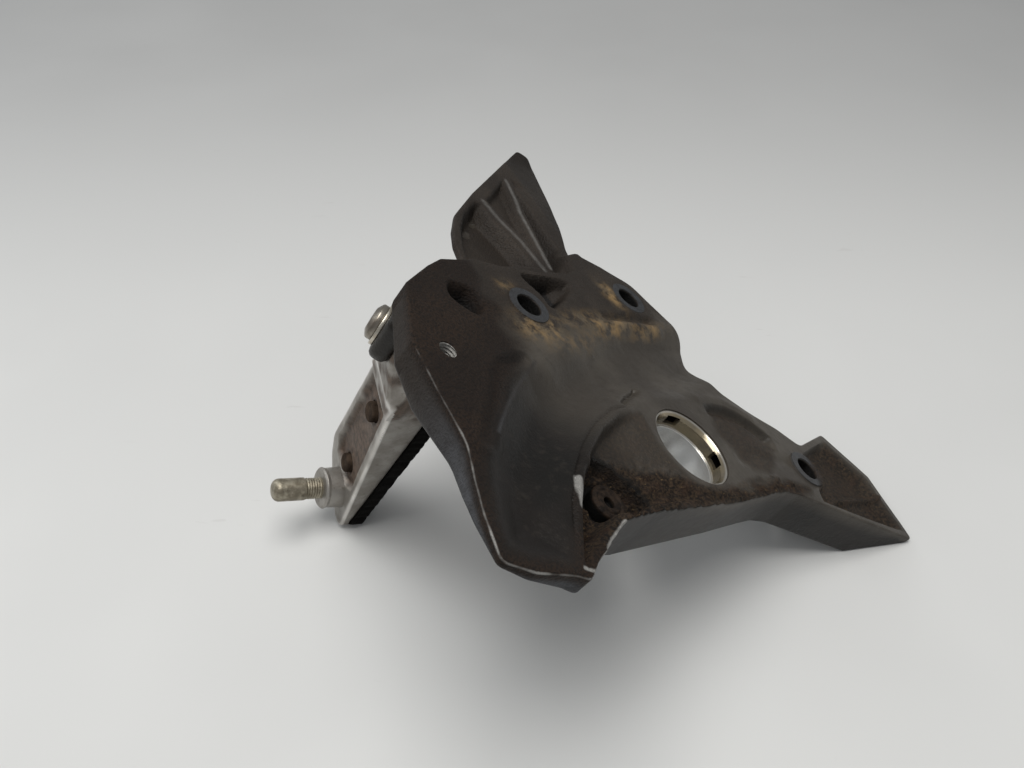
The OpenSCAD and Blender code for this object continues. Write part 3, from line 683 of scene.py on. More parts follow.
def peg_outline(grow):
    """Plan of the footrest: it widens outwards, and its far corner is cut back."""
    near_in, near_out = PEG_MID - 10.4 - grow, PEG_MID - 15 - grow
    far_in, far_out = PEG_MID + 10.4 + grow, PEG_MID + 15 + grow
    return np.array([(NECK_U - 2, near_in), (NECK_U + 4, near_in), (PEG_LONG - 3, near_out),
                     (PEG_LONG - 0.8, near_out + 1.6), (PEG_LONG, near_out + 5), (PEG_LONG - 2, far_out - 12),
                     (PEG_LONG - 10, far_out - 3.5), (PEG_LONG - 17, far_out), (NECK_U + 4, far_in),
                     (NECK_U - 2, far_in)])


PEG_RADII = [1.6, 20, 2, 3, 5, 8, 8, 8, 20, 1.6]
TROUGH = [(21.5, -8.9), (60, -11.0), (70.5, -12.2), (77, -7.4), (77, 6.2), (71, 9.6), (22.5, 6.4)]


def under_plane(p):
    """Sloping underside, from the neck's full depth to the thin outer end."""
    share = (p[:, 0] - (NECK_U - 2)) / (PEG_LONG - 6 - (NECK_U - 2))
    return UNDER_IN + (UNDER_OUT - UNDER_IN) * np.clip(share, 0, 1.02)


def peg_underside(p):
    """The underside with its trough between the long ribs, as minus height so that it faces up in a slab."""
    trough = ease((depth_in(p, TROUGH) + 0.3) / 1.8)
    away = ease((gap_to(p, BOSS) - 7.0) / 1.5)
    pads = sum(hump(gap_to(p, (u, PEG_MID)) - 4.9, 0.9) for u in STUDS)
    depth = 1.9 * trough * away - 0.5 * pads * trough
    return -(under_plane(p) + depth + 0.05 * value_noise(p, 5.0, 21))


def peg_top(p):
    """The flat bed under the rubber, with a low lip at the outer end."""
    return -(TOP_W + 2.0 * ease((p[:, 0] - (PEG_LONG - 2.9)) / 0.5))


def make_footrest():
    """Wedge body as a slab drawn underside up, with the neck and eye, the feeler's boss, and its holes."""
    turned = Axes(PEG.origin, PEG.rows[0], -PEG.rows[1], -PEG.rows[2])
    flip = lambda p: p * (1, -1)
    outline = flip(peg_outline(0.0))
    body = new_piece("footrest_metal", turned,
                     slab(outline[::-1], PEG_RADII[::-1], lambda p: peg_underside(flip(p)),
                          lambda p: peg_top(flip(p)), 0.6, 1.2, 0.9, 0.4))
    boss_place = flip(np.array(BOSS))
    profile = soft_profile([(0, -5.6), (7.4, -5.6), (7.0, 3.0), (7.4, 4.1), (6.7, 4.75), (0, 4.75)],
                           [0.2, 0.8, 0.4, 0.4])
    boss = new_piece("feeler_boss", turned, [spun(profile, 96, boss_place)])
    steps = joins(make_neck(), boss)
    steps += cuts(rod("eye_bore", HINGE, EYE_BORE_R, -20, 20, sides=72),
                  rod("boss_bore", turned, SCREW_R, -2.2, 8, boss_place, 48))
    steps += cuts(*[rod("stud_hole", turned, STUD_HOLE_R, -30, 30, (u, -PEG_MID), 72) for u in STUDS])
    return work_on(body, steps, 32)


def make_neck():
    """Eye round the pin, lofted into the body: the hull of two circles and the body's end section, bevelled and
    then split until no edge is long, so that the mask of grime and painted shade has points to sit on."""
    angle = np.arange(40) * math.pi / 20
    circle_points = EYE_R * np.column_stack([np.cos(angle), np.sin(angle)])
    eye = np.concatenate([np.column_stack([circle_points, np.full(40, level)]) for level in EYE_ENDS])
    section = np.array([(u, v, w) for u in (NECK_U - 0.5, NECK_U + 3.5) for v in (-12.0, 8.8)
                        for w in (UNDER_IN + 0.15, TOP_W - 0.1)])
    points = np.concatenate([HINGE.to_row(eye), PEG.to_row(section)])
    mesh = bpy.data.meshes.new("neck")
    mesh.from_pydata(points, [], [])
    work = bmesh.new()
    work.from_mesh(mesh)
    bmesh.ops.convex_hull(work, input=work.verts)
    bmesh.ops.dissolve_limit(work, angle_limit=0.02, verts=work.verts, edges=work.edges)
    sharp = [e for e in work.edges if e.calc_face_angle(0) > 0.35]
    bmesh.ops.bevel(work, geom=sharp, offset=0.9 * MM, segments=3, profile=0.5, affect="EDGES",
                    clamp_overlap=True)
    for _ in range(4):
        bmesh.ops.triangulate(work, faces=work.faces)
        bmesh.ops.subdivide_edges(work, edges=[e for e in work.edges if e.calc_length() > 1.6 * MM], cuts=1)
    bmesh.ops.triangulate(work, faces=work.faces)
    work.to_mesh(mesh)
    work.free()
    neck = bpy.data.objects.new("neck", mesh)
    scene.collection.objects.link(neck)
    return neck


def make_rubber():
    """Tread pad with cross ribs on the far face, worn edges and two studs through the metal."""
    long = PAD_END - PAD_START
    grooved = [(20.5, -10), (86, -14), (86, 10), (20.5, 6)]

    def tread(p):
        """The far face, less a bell curve of the distance to the nearest whole rib step, less a little noise."""
        run = (p[:, 0] - PAD_START) / long * PAD_RIBS
        from_groove = np.abs(run - np.round(run)) * long / PAD_RIBS
        groove = hump(from_groove, 1.0) * ease((depth_in(p, grooved) - 0.2) / 1.2)
        inside = (run > 0.5) & (run < PAD_RIBS - 0.5)
        return TOP_W + PAD_THICK - 1.6 * groove * inside - 0.12 * np.abs(value_noise(p, 4.0, 31))

    outline = peg_outline(0.8)[[1, 2, 5, 6, 7, 8]]
    outline[:, 0] = [PAD_START, PAD_END, PAD_END, *outline[3:5, 0], PAD_START]
    pad = new_piece("tread_rubber_pad", PEG, slab(outline, [1.4, 2, 6, 6, 6, 1.4], tread, flat(TOP_W + 0.02),
                                                  0.7, 2.0, 0.7, 0.25, nicks=0.3))
    steps = []
    for u in STUDS:
        under = float(under_plane(np.array([[u, PEG_MID]]))[0])
        profile = soft_profile([(0, under - 0.1), (1.5, under - 0.35), (STUD_R, under - 0.35),
                                (STUD_R, TOP_W + 1.0), (0, TOP_W + 1.0)], [0.6, 0.7, 0.1])
        steps += joins(new_piece("stud", PEG, [spun(profile, 64, (u, PEG_MID))]))
    return work_on(pad, steps, 38)


def make_feeler():
    """Round-ended rod: a threaded root near the boss, a plain shank and a domed nose."""
    levels = np.linspace(-0.2, 5.4, 60)
    root = np.column_stack([np.full(60, 3.78), levels])
    nose_angle = np.linspace(0, math.pi / 2, 9)
    nose = np.column_stack([1.6 + 2.4 * np.cos(nose_angle), 14.6 + 2.4 * np.sin(nose_angle)])
    profile = np.concatenate([[(0, -7.0), (2.45, -7.0), (2.45, -0.2)], root, [(4.0, 6.0)], nose, [(0, 17.0)]])

    def ridges(angle, radius, height):
        """Along the root, the radius shrinks by 0.28 times the thread's wave."""
        cut = (height > 0) & (height < 5.5) & (radius > 3)
        return radius - np.where(cut, 0.28 * thread_wave(angle, height, FEELER_PITCH), 0.0)

    down = Axes(PEG.to_row([[*BOSS, -4.8]])[0] / MM, PEG.rows[0], -PEG.rows[1], -PEG.rows[2])
    return new_piece("feeler_rod", down, [spun(profile, 72, wave=ridges)])


# Materials
class Tone:
    """A shader socket that Python arithmetic works on: each operator adds one Math node."""

    def __init__(self, finish, socket):
        self.finish, self.socket = finish, socket

    def _maths(self, operation, first, second):
        return self.finish.node("ShaderNodeMath", {"operation": operation}, {0: first, 1: second})

    def __add__(self, other):
        return self._maths("ADD", self, other)

    def __sub__(self, other):
        return self._maths("SUBTRACT", self, other)

    def __rsub__(self, other):
        return self._maths("SUBTRACT", other, self)

    def __mul__(self, other):
        return self._maths("MULTIPLY", self, other)

    __radd__, __rmul__ = __add__, __mul__

    def high(self, other):
        """The larger of the two."""
        return self._maths("MAXIMUM", self, other)

    def low(self, other):
        """The smaller of the two."""
        return self._maths("MINIMUM", self, other)

    def band(self, start, end):
        """Smooth step from 0 at start to 1 at end."""
        return self.finish.node("ShaderNodeMapRange", {"interpolation_type": "SMOOTHSTEP"},
                                {"Value": self, "From Min": start, "From Max": end})


def paint(red, green, blue):
    """A colour as the eye reads it, 0 to 255, turned to the linear numbers that the shader wants."""
    share = np.array([red, green, blue]) / 255.0
    linear = np.where(share <= 0.04045, share / 12.92, ((share + 0.055) / 1.055) ** 2.4)
    return (*linear.tolist(), 1.0)


class Finish:
    """One material's node tree, with patterns measured in millimetres on Object coordinates."""

    def __init__(self, name, specular=0.5):
        self.material = bpy.data.materials.new(name)
        self.material.use_nodes = True
        self.tree = self.material.node_tree
        self.shader = self.tree.nodes["Principled BSDF"]
        self.shader.inputs["Specular IOR Level"].default_value = specular
        self.place = self.node("ShaderNodeTexCoord", {}, {}, "Object")

    def node(self, kind, settings, values, output=0):
        """A node with its settings made first and then its sockets set to numbers or linked."""
        made = self.tree.nodes.new(kind)
        for key, value in settings.items():
            setattr(made, key, value)
        for key, value in values.items():
            if isinstance(value, Tone):
                self.tree.links.new(value.socket, made.inputs[key])
            else:
                made.inputs[key].default_value = value
        return Tone(self, made.outputs[output])

    def noise(self, size, detail=3.0, rough=0.55, stretch=None, warp=0.0):
        """Noise whose lumps are about size mm across, from 0 to 1."""
        place = self.place
        if stretch is not None:
            place = self.node("ShaderNodeMapping", {}, {"Vector": place, "Scale": stretch})
        values = {"Vector": place, "Scale": 1.0 / (size * MM), "Detail": detail, "Roughness": rough,
                  "Distortion": warp}
        return self.node("ShaderNodeTexNoise", {}, values)

    def cells(self, size):
        """Distance inside a pattern of irregular cells about size mm across."""
        return self.node("ShaderNodeTexVoronoi", {}, {"Vector": self.place, "Scale": 1.0 / (size * MM)})

    def along(self, axes, index):
        """Coordinate of the surface in millimetres along one axis of a drawing frame."""
        way = axes.rows[index]
        reach = self.node("ShaderNodeVectorMath", {"operation": "DOT_PRODUCT"},
                          {0: self.place, 1: tuple(way / MM)}, "Value")
        return reach - float(axes.origin @ way)

    def blend(self, share, first, second):
        """Mix of two colours."""
        made = self.tree.nodes.new("ShaderNodeMix")
        made.data_type = "RGBA"
        for socket, value in ((made.inputs[0], share), (made.inputs[6], first), (made.inputs[7], second)):
            if isinstance(value, Tone):
                self.tree.links.new(value.socket, socket)
            else:
                socket.default_value = value
        return Tone(self, made.outputs[2])

    def mottle(self, pattern, start, end, first, second):
        """Two paints, mixed by a pattern between two of its levels."""
        return self.blend(pattern.band(start, end), paint(*first), paint(*second))

    def mask(self, name):
        """A mask that is stored on the piece's points."""
        return self.node("ShaderNodeAttribute", {"attribute_name": name}, {}, "Fac")

    def relief(self, height, reach_mm, strength):
        """Normal from a height pattern, reach_mm deep."""
        values = {"Height": height, "Distance": reach_mm * MM, "Strength": strength}
        return self.node("ShaderNodeBump", {}, values)

    def wear(self, color, rough, normal_map, metallic=0.0):
        """Joins the patterns to the shader."""
        for key, value in (("Base Color", color), ("Roughness", rough), ("Normal", normal_map),
                           ("Metallic", metallic)):
            if isinstance(value, Tone):
                self.tree.links.new(value.socket, self.shader.inputs[key])
            else:
                self.shader.inputs[key].default_value = value
        return self.material


def casting_finish():
    """Dark painted casting: rough brown sand skin on the block, satin grey in the channel, caked dirt, ochre
    stains, black painted shade in gaps and hollows, painted shade darkening the channel towards the toe, and
    bright worn edges that also serve as painted highlight."""
    f = Finish("cast_alloy_worn", specular=0.24)
    names = ("sand", "dirt", "stain", "edge", "cool", "painted_shade", "painted_darkening")
    sand, dirt, stain, edge, cool, painted_shade, painted_darkening = (f.mask(name) for name in names)
    fine, coarse, broad = f.noise(0.65, 4), f.noise(2.6, 4, 0.6), f.noise(24.0, 3, 0.5)
    grit = f.cells(0.9)
    satin = f.mottle(broad, 0.35, 0.65, (56, 51, 45), (71, 66, 59))
    # Painted shade: the satin darkens nearly to black towards the toe and in the deep parts on the right.
    satin = f.blend(painted_darkening, satin, f.mottle(broad, 0.4, 0.6, (15, 13, 10), (24, 20, 17)))
    satin = f.blend(coarse.band(0.5, 0.75) * 0.45, satin, paint(48, 43, 38))
    brown = f.mottle(broad, 0.4, 0.62, (29, 19, 11), (39, 27, 17))
    brown = f.blend(fine.band(0.42, 0.62) * 0.9, brown, paint(15, 8, 4))
    base = f.blend(sand, satin, brown)
    low_end = f.along(PLATE, 1).band(-50, -12)
    cold = f.blend(low_end, paint(68, 69, 72), paint(42, 36, 31))
    cold = f.blend(f.along(PLATE, 2).band(-0.35, -0.2), cold, paint(56, 58, 61))
    base = f.blend(cool, base, f.blend(coarse.band(0.4, 0.7) * 0.4, cold, paint(34, 31, 29)))
    crumbs = f.noise(1.0, 4, 0.65)
    soil = f.mottle(crumbs, 0.40, 0.62, (18, 13, 10), (56, 44, 32))
    soil = f.blend(f.noise(5.0, 3, 0.5).band(0.45, 0.7) * 0.5, soil, paint(58, 42, 31))
    soil = f.blend(f.noise(0.7, 2, 0.5).band(0.66, 0.74) * 0.7, soil, paint(104, 86, 58))
    base = f.blend(dirt, base, soil)
    rust = f.mottle(f.noise(5.0, 3, 0.5), 0.3, 0.7, (104, 92, 74), (138, 112, 74))
    base = f.blend(stain * f.noise(4.0, 5, 0.65, warp=0.1).band(0.36, 0.6) * 0.85, base, rust)
    specks = f.noise(0.9, 2, 0.5).band(0.70, 0.78) * (1.0 - dirt)
    base = f.blend(specks * 0.5, base, paint(22, 18, 15))
    # Worn bare metal on the edges, chips and thread, which also stands as painted highlight along the left edge,
    # the chips and the fin's crests.
    bare_or_highlit = (edge * (0.8 + f.noise(1.3, 3) * 0.5)).band(0.3, 0.9)
    base = f.blend(bare_or_highlit, base, paint(158, 156, 152))
    # Painted shade: near black in the holes, slots and gaps, lighter in the pockets, grooves and on the fin's
    # flank.
    base = f.blend(painted_shade, base, paint(8, 7, 6))
    rough = 0.44 + sand * 0.28 + dirt * 0.42 + (coarse - 0.5) * 0.16 - bare_or_highlit * 0.12
    grain = fine * (0.35 + sand * 1.1 + dirt * 0.9) + grit * sand * 0.5 + coarse * (0.5 + dirt * 1.4)
    grain = grain + crumbs * dirt * 1.5
    return f.wear(base, rough.low(0.95), f.relief(grain, 0.30, 0.95), bare_or_highlit * 0.7 * (1.0 - painted_shade))


def worn_metal(name, light, dark, grime, rough, size, metallic=0.9):
    """Bare metal with cloudy tone, fine scratches and grime."""
    f = Finish(name)
    cloud, fine, streak = f.noise(size, 4, 0.6), f.noise(0.5, 4), f.noise(1.2, 3, 0.6)
    base = f.blend(cloud.band(0.32, 0.68), light, dark)
    spots = f.noise(2.2, 5, 0.65).band(0.58, 0.74)
    base = f.blend(spots * 0.7, base, grime)
    tone = rough + (cloud - 0.5) * 0.25 + spots * 0.3 + (streak - 0.5) * 0.12
    return f.wear(base, tone.high(0.08), f.relief(fine + streak, 0.05, 0.6), metallic - spots * 0.5)


def bush_finish():
    """Polished steel: near-white silver below the step as painted highlight, olive film between step and rim."""
    f = Finish("bush_steel_highlit")
    cloud, fine = f.noise(8.0, 3, 0.5), f.noise(0.5, 3)
    film = f.along(PLATE, 2).band(-6.1, -5.7) * (1.0 - f.along(PLATE, 2).band(-1.5, -1.1))
    # Painted highlight: the near-white base makes the lower wall of the bore shine.
    base = f.mottle(cloud, 0.3, 0.7, (228, 229, 229), (206, 205, 202))
    olive = f.mottle(cloud, 0.4, 0.6, (104, 90, 60), (142, 126, 92))
    base = f.blend(film * 0.85, base, olive)
    base = f.blend(f.along(PLATE, 2).band(-1.5, -1.2) * 0.6, base, paint(140, 128, 108))
    return f.wear(base, 0.2 + (cloud - 0.5) * 0.12, f.relief(fine, 0.03, 0.4), 0.78)


def stud_finish():
    """Dirty steel stud: brown head, and painted shade nearly black down its side."""
    f = Finish("stud_dirt_and_shade", specular=0.2)
    cloud, fine = f.noise(2.2, 4, 0.6), f.noise(0.6, 4)
    base = f.mottle(cloud, 0.35, 0.65, (48, 37, 28), (22, 16, 12))
    # Painted shade: nearly black below the head, down the side in the gap round the stud.
    base = f.blend(f.along(PLATE, 2).band(-7.4, -6.5), paint(7, 6, 5), base)
    return f.wear(base, 0.7, f.relief(fine + cloud, 0.25, 0.9), 0.15)


def footrest_finish():
    """Silver casting: pale blasted sides, brown grime in the trough and round the holes, painted shade on the
    neck, and pale worn edges that are also painted highlight.
    """
    f = Finish("bare_alloy_grimy")
    grime, edge = f.mask("grime"), f.mask("edge")
    cloud, fine, coarse = f.noise(9.0, 4, 0.6), f.noise(0.6, 4), f.noise(2.4, 5, 0.65)
    base = f.mottle(cloud, 0.35, 0.66, (158, 154, 148), (132, 127, 120))
    base = f.blend(coarse.band(0.56, 0.74) * 0.55, base, paint(104, 92, 80))
    oily = f.mottle(coarse, 0.35, 0.65, (100, 82, 68), (62, 48, 38))
    # The grime mask also carries painted shade in blotches on the neck.
    base = f.blend(grime, base, oily)
    # Pale edges: worn metal and painted highlight along the underside's rim.
    base = f.blend(edge, base, paint(218, 215, 210))
    rough = 0.42 + (cloud - 0.5) * 0.25 + grime * 0.2 - edge * 0.16
    return f.wear(base, rough, f.relief(fine * 0.6 + coarse * (0.5 + grime), 0.16, 0.7), 0.72 - grime * 0.5)


def rubber_finish():
    """Black tread rubber with cloudy tone and roughness, and brown on the studs' ends under the metal."""
    f = Finish("tread_rubber_aged", specular=0.03)
    cloud, fine = f.noise(5.0, 4, 0.6), f.noise(0.45, 3)
    base = f.mottle(cloud, 0.45, 0.75, (10, 9, 8), (20, 18, 16))
    studs = f.mottle(cloud, 0.35, 0.65, (74, 62, 52), (46, 38, 32))
    base = f.blend(f.along(PEG, 2).band(4.6, 5.6), studs, base)
    return f.wear(base, 0.7 + (cloud - 0.5) * 0.3, f.relief(fine + cloud, 0.14, 0.8))


def feeler_finish():
    """Yellow-grey plated rod with cloudy tone and brown spots."""
    f = Finish("feeler_plated")
    cloud, fine = f.noise(3.0, 5, 0.6), f.noise(0.4, 4)
    base = f.mottle(cloud, 0.35, 0.62, (164, 157, 140), (122, 114, 98))
    base = f.blend(f.noise(1.4, 5, 0.7).band(0.58, 0.74) * 0.8, base, paint(62, 54, 43))
    return f.wear(base, 0.42 + (cloud - 0.5) * 0.4, f.relief(fine + cloud, 0.10, 0.8), 0.65)


# Masks on points: stains are (spot, half widths, strength) on the plan
STAINS = (((-5.0, -7.5), (6.5, 4.0), 1.5), ((0.0, -9.5), (6.0, 3.2), 1.3), ((-3.5, 8.4), (4.0, 2.6), 0.6),
          ((20.0, -6.5), (13.0, 3.0), 0.7), ((50.6, 2.2), (3.0, 5.5), 1.5), ((36.0, -11.0), (12.0, 3.0), 1.5),
          ((58.0, -14.6), (9.0, 2.4), 1.2), ((8.0, -15.5), (12.0, 3.0), 0.5))
HOOK_SHADE = [(-31.3, -16.4), (-23.7, -15.2), (-18.2, -16.6), (-21.7, -18.7), (-30.1, -18.3)]


def store(piece, name, values):
    """Writes one number per point as an attribute."""
    layer = piece.data.attributes.new(name, "FLOAT", "POINT")
    layer.data.foreach_set("value", np.clip(values, 0, 1).astype(np.float32))


def points_of(piece, axes):
    """A piece's points in a drawing frame, in millimetres."""
    flat = np.zeros(len(piece.data.vertices) * 3)
    piece.data.vertices.foreach_get("co", flat)
    return axes.from_row(flat.reshape(-1, 3))


def sand_mask(plan, z, blotch):
    """Rough sand skin: the block left of the channel and a band across it."""
    x, y = plan.T
    block_side = ease((-14 - x + 0.35 * (y + 20) + 3 * blotch) / 12.0)
    block_side = block_side * ease((3 - depth_in(plan, CHANNEL)) / 6.0)
    band = ease((y + 14 + 3 * blotch) / 6.0) * 0.65
    return np.maximum(block_side, band) * (z > -9.5)


def dirt_mask(plan, z, rim, blotch):
    """Caked dirt: thick round the stud, thinner in the recess, the tail's tray and the side groove."""
    soiled = ease((depth_in(plan, DIRT_ZONE) + 3.0 + 1.5 * blotch) / 5.0) * (z > -14) * (rim > 0.2)
    grubby = ease(depth_in(plan, RECESS) / 1.5) * (0.34 + 0.53 * ease((-21 - plan[:, 0]) / 6.0))
    reddish = 0.8 * ease(depth_in(plan, TRAY) / 3.0) + 0.55 * ease(depth_in(plan, SIDE_GROOVE) / 4.0)
    return np.maximum.reduce([soiled, grubby * (rim > 0.4), reddish])


def wear_and_highlight_mask(plan, z, rim, below, blotch):
    """Worn metal and painted highlight: the left edge below the block, the lower edge, chips beside the recess,
    the fin's crests and the bright thread."""
    x, y = plan.T
    left = (x < -44) * ease((-8 - y) / 3.0) * (0.50 + 0.24 * ease((-28 - y) / 16.0))
    low = ((y < -68) & (x < 30)) * 0.42
    tail_rim = ease((x - 62) / 6.0) * (y < 0) * 0.4
    thin = ease((0.75 - below) / 0.3) * ease((0.40 - rim) / 0.2) * (z > -9)
    worn = thin * np.maximum.reduce([left, low, tail_rim]) * (0.85 + 0.3 * value_noise(plan, 3.0, 43))
    chips = np.maximum(stroke(plan, [(-34.6, -55.2), (-37.2, -58.4), (-40.2, -62.2)], 1.0, 1.3),
                       stroke(plan, [(-53.7, -74.9), (-51.7, -76.4), (-49.3, -77.2)], 1.0, 0.7))
    lip = stroke(plan, [(-30.1, -69.9), (-36.3, -71.5), (-42.8, -73.6)], 1.0, 0.8)
    bright = np.maximum(chips * (0.9 + 0.3 * blotch), lip) * (below < 2.5)
    thread = (gap_to(plan, SMALL_HOLE) < 3.2) & (z < -0.9)
    crests = np.maximum(stroke(plan, [(54, 65), (49.2, 54), (45.2, 47), (39.3, 31), (35, 19)], 0.5, 1.9),
                        stroke(plan, [(28.4, 51.6), (28.6, 42.1), (30.9, 31.2), (30.7, 18)], 0.46, 2.6))
    return np.maximum.reduce([worn, bright, 0.95 * thread, crests])


def cool_mask(plan, rim, below, on_face):
    """Cool grey paint: the block's low flank, the machined faces, the pocket's end wall, the fin's rim and a
    long scratch."""
    x, y = plan.T
    flank = ease((below - 1.5) / 2.0) * (y < 8) * (x < -40)
    scratch = stroke(plan, SCRATCH, 0.8, 0.45) * (below < 0.5)
    end_wall = ease((x - 22) / 4.0) * ease(depth_in(plan, POCKET_RIGHT) / 1.0) * 0.5
    fin_rim = ease((0.7 - below) / 0.3) * ease((1.0 - rim) / 0.4) * (y > 22) * (x < 80) * 0.5
    return np.maximum.reduce([flank, 0.85 * on_face, end_wall, fin_rim, scratch])


def painted_shade_mask(plan, z, below, ring_gaps):
    """Black painted shade: inside the bolt holes, behind the bush's slots, round the stud, under the step and in
    the pit, and lighter painted shade on the lug, in the pockets, in the fin's groove and corners and on its right
    flank."""
    x, y = plan.T
    bores = np.max([(gap < 4.45) * ease((-z - 0.1) / 0.8) for gap in ring_gaps], axis=0)
    slots = (gap_to(plan, PIVOT) < 17.2) & (z < -1.4)
    moat = ease((7.8 - gap_to(plan, STUD_AT)) / 0.8) * ease((-z - 7.2) / 1.5)
    step = stroke(plan, STEP_FOOT, 0.85, 1.5)
    pit = 0.9 * hump(gap_to(plan, PIT_AT), 1.7)
    hook = 0.4 * ease(depth_in(plan, HOOK_SHADE) + 0.8)
    brow = 0.55 * hump(depth_in(plan, SIDE_GROOVE) - 0.8, 0.8) * stroke(plan, SIDE_BROW, 1.0, 2.0)
    wells = 0.92 * ease((-z - 2.2) / 3.2) * (y > -4) * (y < 16) * (x < 24) * (below < 0.5)
    lug = 0.55 * (z < -9) * (x > -46) * (x < -8) * (y > -12) * (below > 6)
    groove = 0.55 * ease(depth_in(plan, FIN_GROOVE) / 3.0)
    left_rim = ease((4.0 - gap_to_line(plan, FIN_LEFT[:5])) / 3.0) * ease((y - 26) / 8.0)
    corners = 0.5 * ease(depth_in(plan, FIN_LEFT) / 2.0) * left_rim
    flank = 0.3 * (x - 58.6 - 0.127 * (y - 25.0) > 0) * (y > 22)
    return np.maximum.reduce([bores, slots * 1.0, moat, step, pit, hook, brow, wells, lug, groove, corners,
                              flank])


def mask_casting(piece):
    """Masks for the casting's finish, from plan places, heights and the distances to the outline, the bolt
    holes and the inner face."""
    p = points_of(piece, PLATE)
    plan, z = p[:, :2], p[:, 2]
    x, y = plan.T
    rim = gap_to_line(plan, round_corners(ARM_OUTLINE, ARM_RADII, 1.5), closed=True)
    below = inner_face(plan) - z
    blotch = value_noise(plan, 7.0, 41)
    ring_gaps = [gap_to(plan, hole) for hole in (BOLT_A, BOLT_B, BOLT_C)]
    on_ring = np.any([gap < RING_R + 0.05 for gap in ring_gaps], axis=0)
    stains = sum(weight * hump(np.linalg.norm((plan - spot) / size, axis=1), 1.0)
                 for spot, size, weight in STAINS)
    # Painted shade where the surface lies more than 2 mm below the inner face on the right, strongest at the tail.
    right_painted_darkening = (below > 2.0) * (x > -30) * (y < 0) * (0.8 + 0.2 * ease((x - 62) / 8.0))
    store(piece, "sand", sand_mask(plan, z, blotch))
    store(piece, "dirt", dirt_mask(plan, z, rim, blotch))
    store(piece, "stain", stains * ~on_ring * (z > -3.5))
    store(piece, "edge", wear_and_highlight_mask(plan, z, rim, below, blotch))
    store(piece, "cool", cool_mask(plan, rim, below, on_ring * (z > -0.3)))
    # Painted shade: darkening towards the toe, and in the deep parts on the right.
    store(piece, "painted_darkening", np.maximum(ease((-x - 0.5 * y - 24) / 28.0), right_painted_darkening))
    # Painted shade mask: black in holes and gaps, lighter in pockets, grooves and on the fin's flank.
    store(piece, "painted_shade", painted_shade_mask(plan, z, below, ring_gaps))


def mask_footrest(piece):
    """Grime in the trough, painted shade in blotches on the neck, and bright edges along the ribs as wear and
    painted highlight.
    """
    p = points_of(piece, PEG)
    plan, w = p[:, :2], p[:, 2]
    under = w < under_plane(plan) + 2.6
    blotch = value_noise(plan, 5.0, 51)
    trough = ease((depth_in(plan, TROUGH) + 0.8 + 0.8 * blotch) / 2.2) * under
    # Painted shade: dark blotches on the neck stand for shaded creases and hollows.
    neck = 0.8 * ease((21.0 - plan[:, 0]) / 3.0) * ease((value_noise(plan + w[:, None], 3.5, 53) + 0.35) / 0.7)
    store(piece, "grime", np.maximum(trough * 0.95, neck))
    # Pale rim edges: wear and painted highlight.
    rim = gap_to_line(plan, peg_outline(0.0), closed=True)
    near = np.abs(w - under_plane(plan)) < 1.1
    store(piece, "edge", hump(rim - 0.2, 0.9) * near * (0.7 + 0.4 * blotch))


# Assembly
def dress(piece, finish, body, slot, *nodes):
    """Gives a piece its finish and its body, and hides the nodes that it stands for; slot is not used."""
    piece.data.materials.clear()
    piece.data.materials.append(finish)
    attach(piece, body)
    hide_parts(*nodes)


hanger = make_hanger()
mask_casting(hanger)
dress(hanger, casting_finish(), "arm", "cast_alloy", "hanger")

dress(make_bush(), bush_finish(), "arm", "bush_steel", "pivot_bush")
dress(make_stud(), stud_finish(), "arm", "dull_steel", "stop_stud")

footrest = make_footrest()
mask_footrest(footrest)
dress(footrest, footrest_finish(), "peg", "bare_alloy", "footrest")
dress(make_rubber(), rubber_finish(), "peg", "tread_rubber", "tread_rubber")
dress(make_feeler(), feeler_finish(), "peg", "worn_steel", "feeler")

pin_steel = worn_metal("pin_steel_worn", paint(150, 144, 134), paint(112, 104, 94),
                       paint(70, 58, 48), 0.36, 4.0)
washer_steel = worn_metal("washer_steel_bright", paint(206, 200, 188), paint(170, 160, 144),
                          paint(100, 84, 66), 0.28, 3.0)
dull_steel = worn_metal("dull_steel_oiled", paint(104, 98, 92), paint(76, 70, 64),
                        paint(48, 40, 34), 0.45, 3.0, metallic=0.7)
dress(make_pin(), pin_steel, "arm", "pin_steel", "hinge_pin")
dress(make_washer(), washer_steel, "arm", "pin_steel", "pin_washer")
for name in ("pin_clip", "return_spring"):
    node = frame["nodes"][name]
    node.data.materials.clear()
    node.data.materials.append(dull_steel)


# Bench, light and camera
def bench_finish():
    """Pale worn board: broad clouding with a few faint scuffs, darker towards the back as painted shade."""
    f = Finish("bench_pale", specular=0.2)
    cloud, fine = f.noise(160.0, 3, 0.5), f.noise(14.0, 5, 0.6)
    scuffs = f.noise(9.0, 3, 0.6, stretch=(0.35, 1.6, 1)).band(0.70, 0.76) * f.noise(60.0, 2).band(0.5, 0.6)
    # Painted shade: the board darkens from front to back, as the light falls off.
    base = f.blend(f.along(ground, 1).band(-60, 430), paint(216, 216, 214), paint(176, 176, 175))
    base = f.blend(cloud.band(0.3, 0.7) * 0.25, base, paint(192, 192, 191))
    base = f.blend(scuffs * 0.15, base, paint(160, 156, 152))
    return f.wear(base, 0.6, f.relief(fine, 0.05, 0.3))


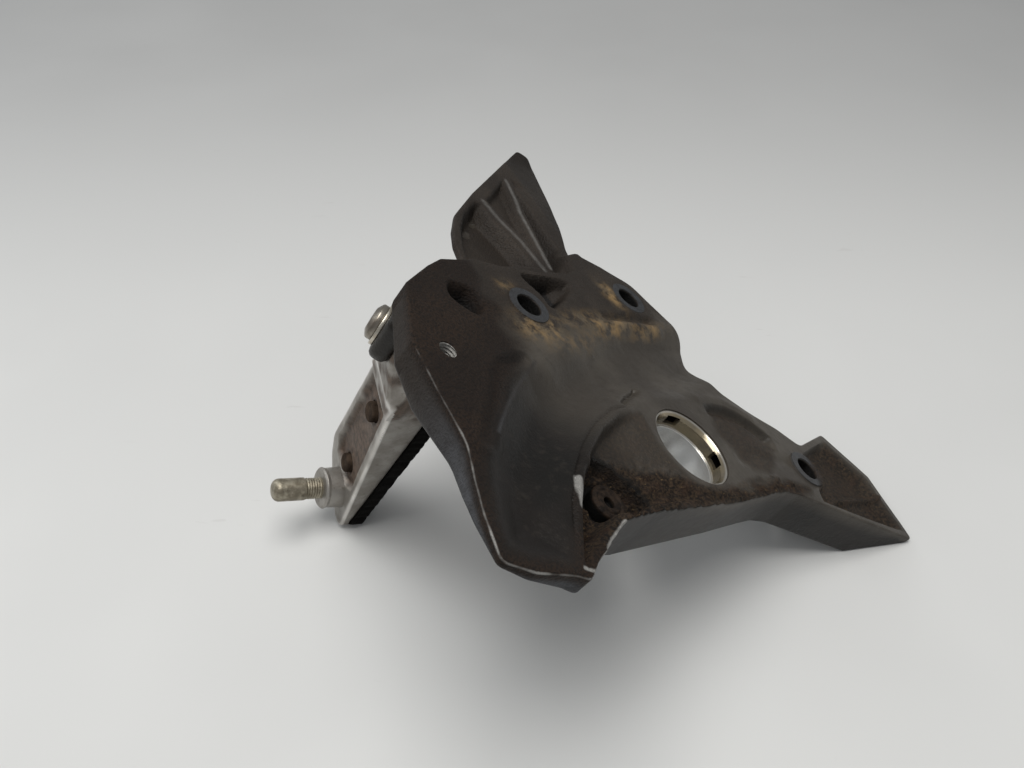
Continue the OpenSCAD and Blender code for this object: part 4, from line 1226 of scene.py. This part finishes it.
FLOOR_MM = -94.6
BENCH_HALF = 4000
ground = Axes((0, 0, 0), (1, 0, 0), (0, 1, 0), (0, 0, 1))
side = np.linspace(-BENCH_HALF, BENCH_HALF, 9)
across, away = (grid.ravel() for grid in np.meshgrid(side, side))
board = np.column_stack([across, away, np.full(len(across), FLOOR_MM)])
bench = new_piece("bench", ground, [(board, wrap(len(side), len(side), close_cols=False)[:, ::-1])])
bench.data.materials.append(bench_finish())

world = bpy.data.worlds.new("studio")
scene.world = world
world.use_nodes = True
sky = world.node_tree.nodes["Background"].inputs
sky["Color"].default_value = (0.86, 0.88, 0.90, 1)
sky["Strength"].default_value = 0.38


def softbox(name, place, target, size, watts, tint):
    """Square area lamp that looks at a target, sizes in millimetres."""
    lamp = bpy.data.lights.new(name, "AREA")
    lamp.size, lamp.energy, lamp.color = size * MM, watts, tint
    holder = bpy.data.objects.new(name, lamp)
    back = unit(np.array(place, float) - target)
    right = unit(np.cross((0, 0, 1) if abs(back[2]) < 0.98 else (0, 1, 0), back))
    turn = Matrix(np.column_stack([right, np.cross(back, right), back]).tolist()).to_4x4()
    holder.matrix_world = Matrix.Translation(np.array(place, float) * MM) @ turn
    scene.collection.objects.link(holder)


middle = np.array([15.0, 0.0, -50.0])
softbox("ceiling", (-40, -40, 900), middle, 620, 7.4, (1.0, 0.99, 0.97))
softbox("window", (-700, 350, 420), middle, 500, 1.3, (0.95, 0.98, 1.0))

# The camera as it follows from the ellipses of the bolt holes: its lens in millimetres, its place in metres,
# and its own right, up and back axes in the columns
CAMERA_LENS = 29.53
CAMERA_AT = (-0.00404152, -0.19380275, 0.15498555)
CAMERA_AXES = ((0.99999, 0.00523, 0.00506), (0.0, 0.69524, -0.71882), (-0.00726, 0.71881, 0.69515))
camera_data = bpy.data.cameras.new("camera")
camera_data.sensor_width = 36.0
camera_data.lens = CAMERA_LENS
camera_data.clip_start = 0.01
camera = bpy.data.objects.new("camera", camera_data)
camera.matrix_world = Matrix.Translation(CAMERA_AT) @ Matrix(CAMERA_AXES).to_4x4()
scene.collection.objects.link(camera)
scene.camera = camera
scene.view_settings.view_transform = "Standard"
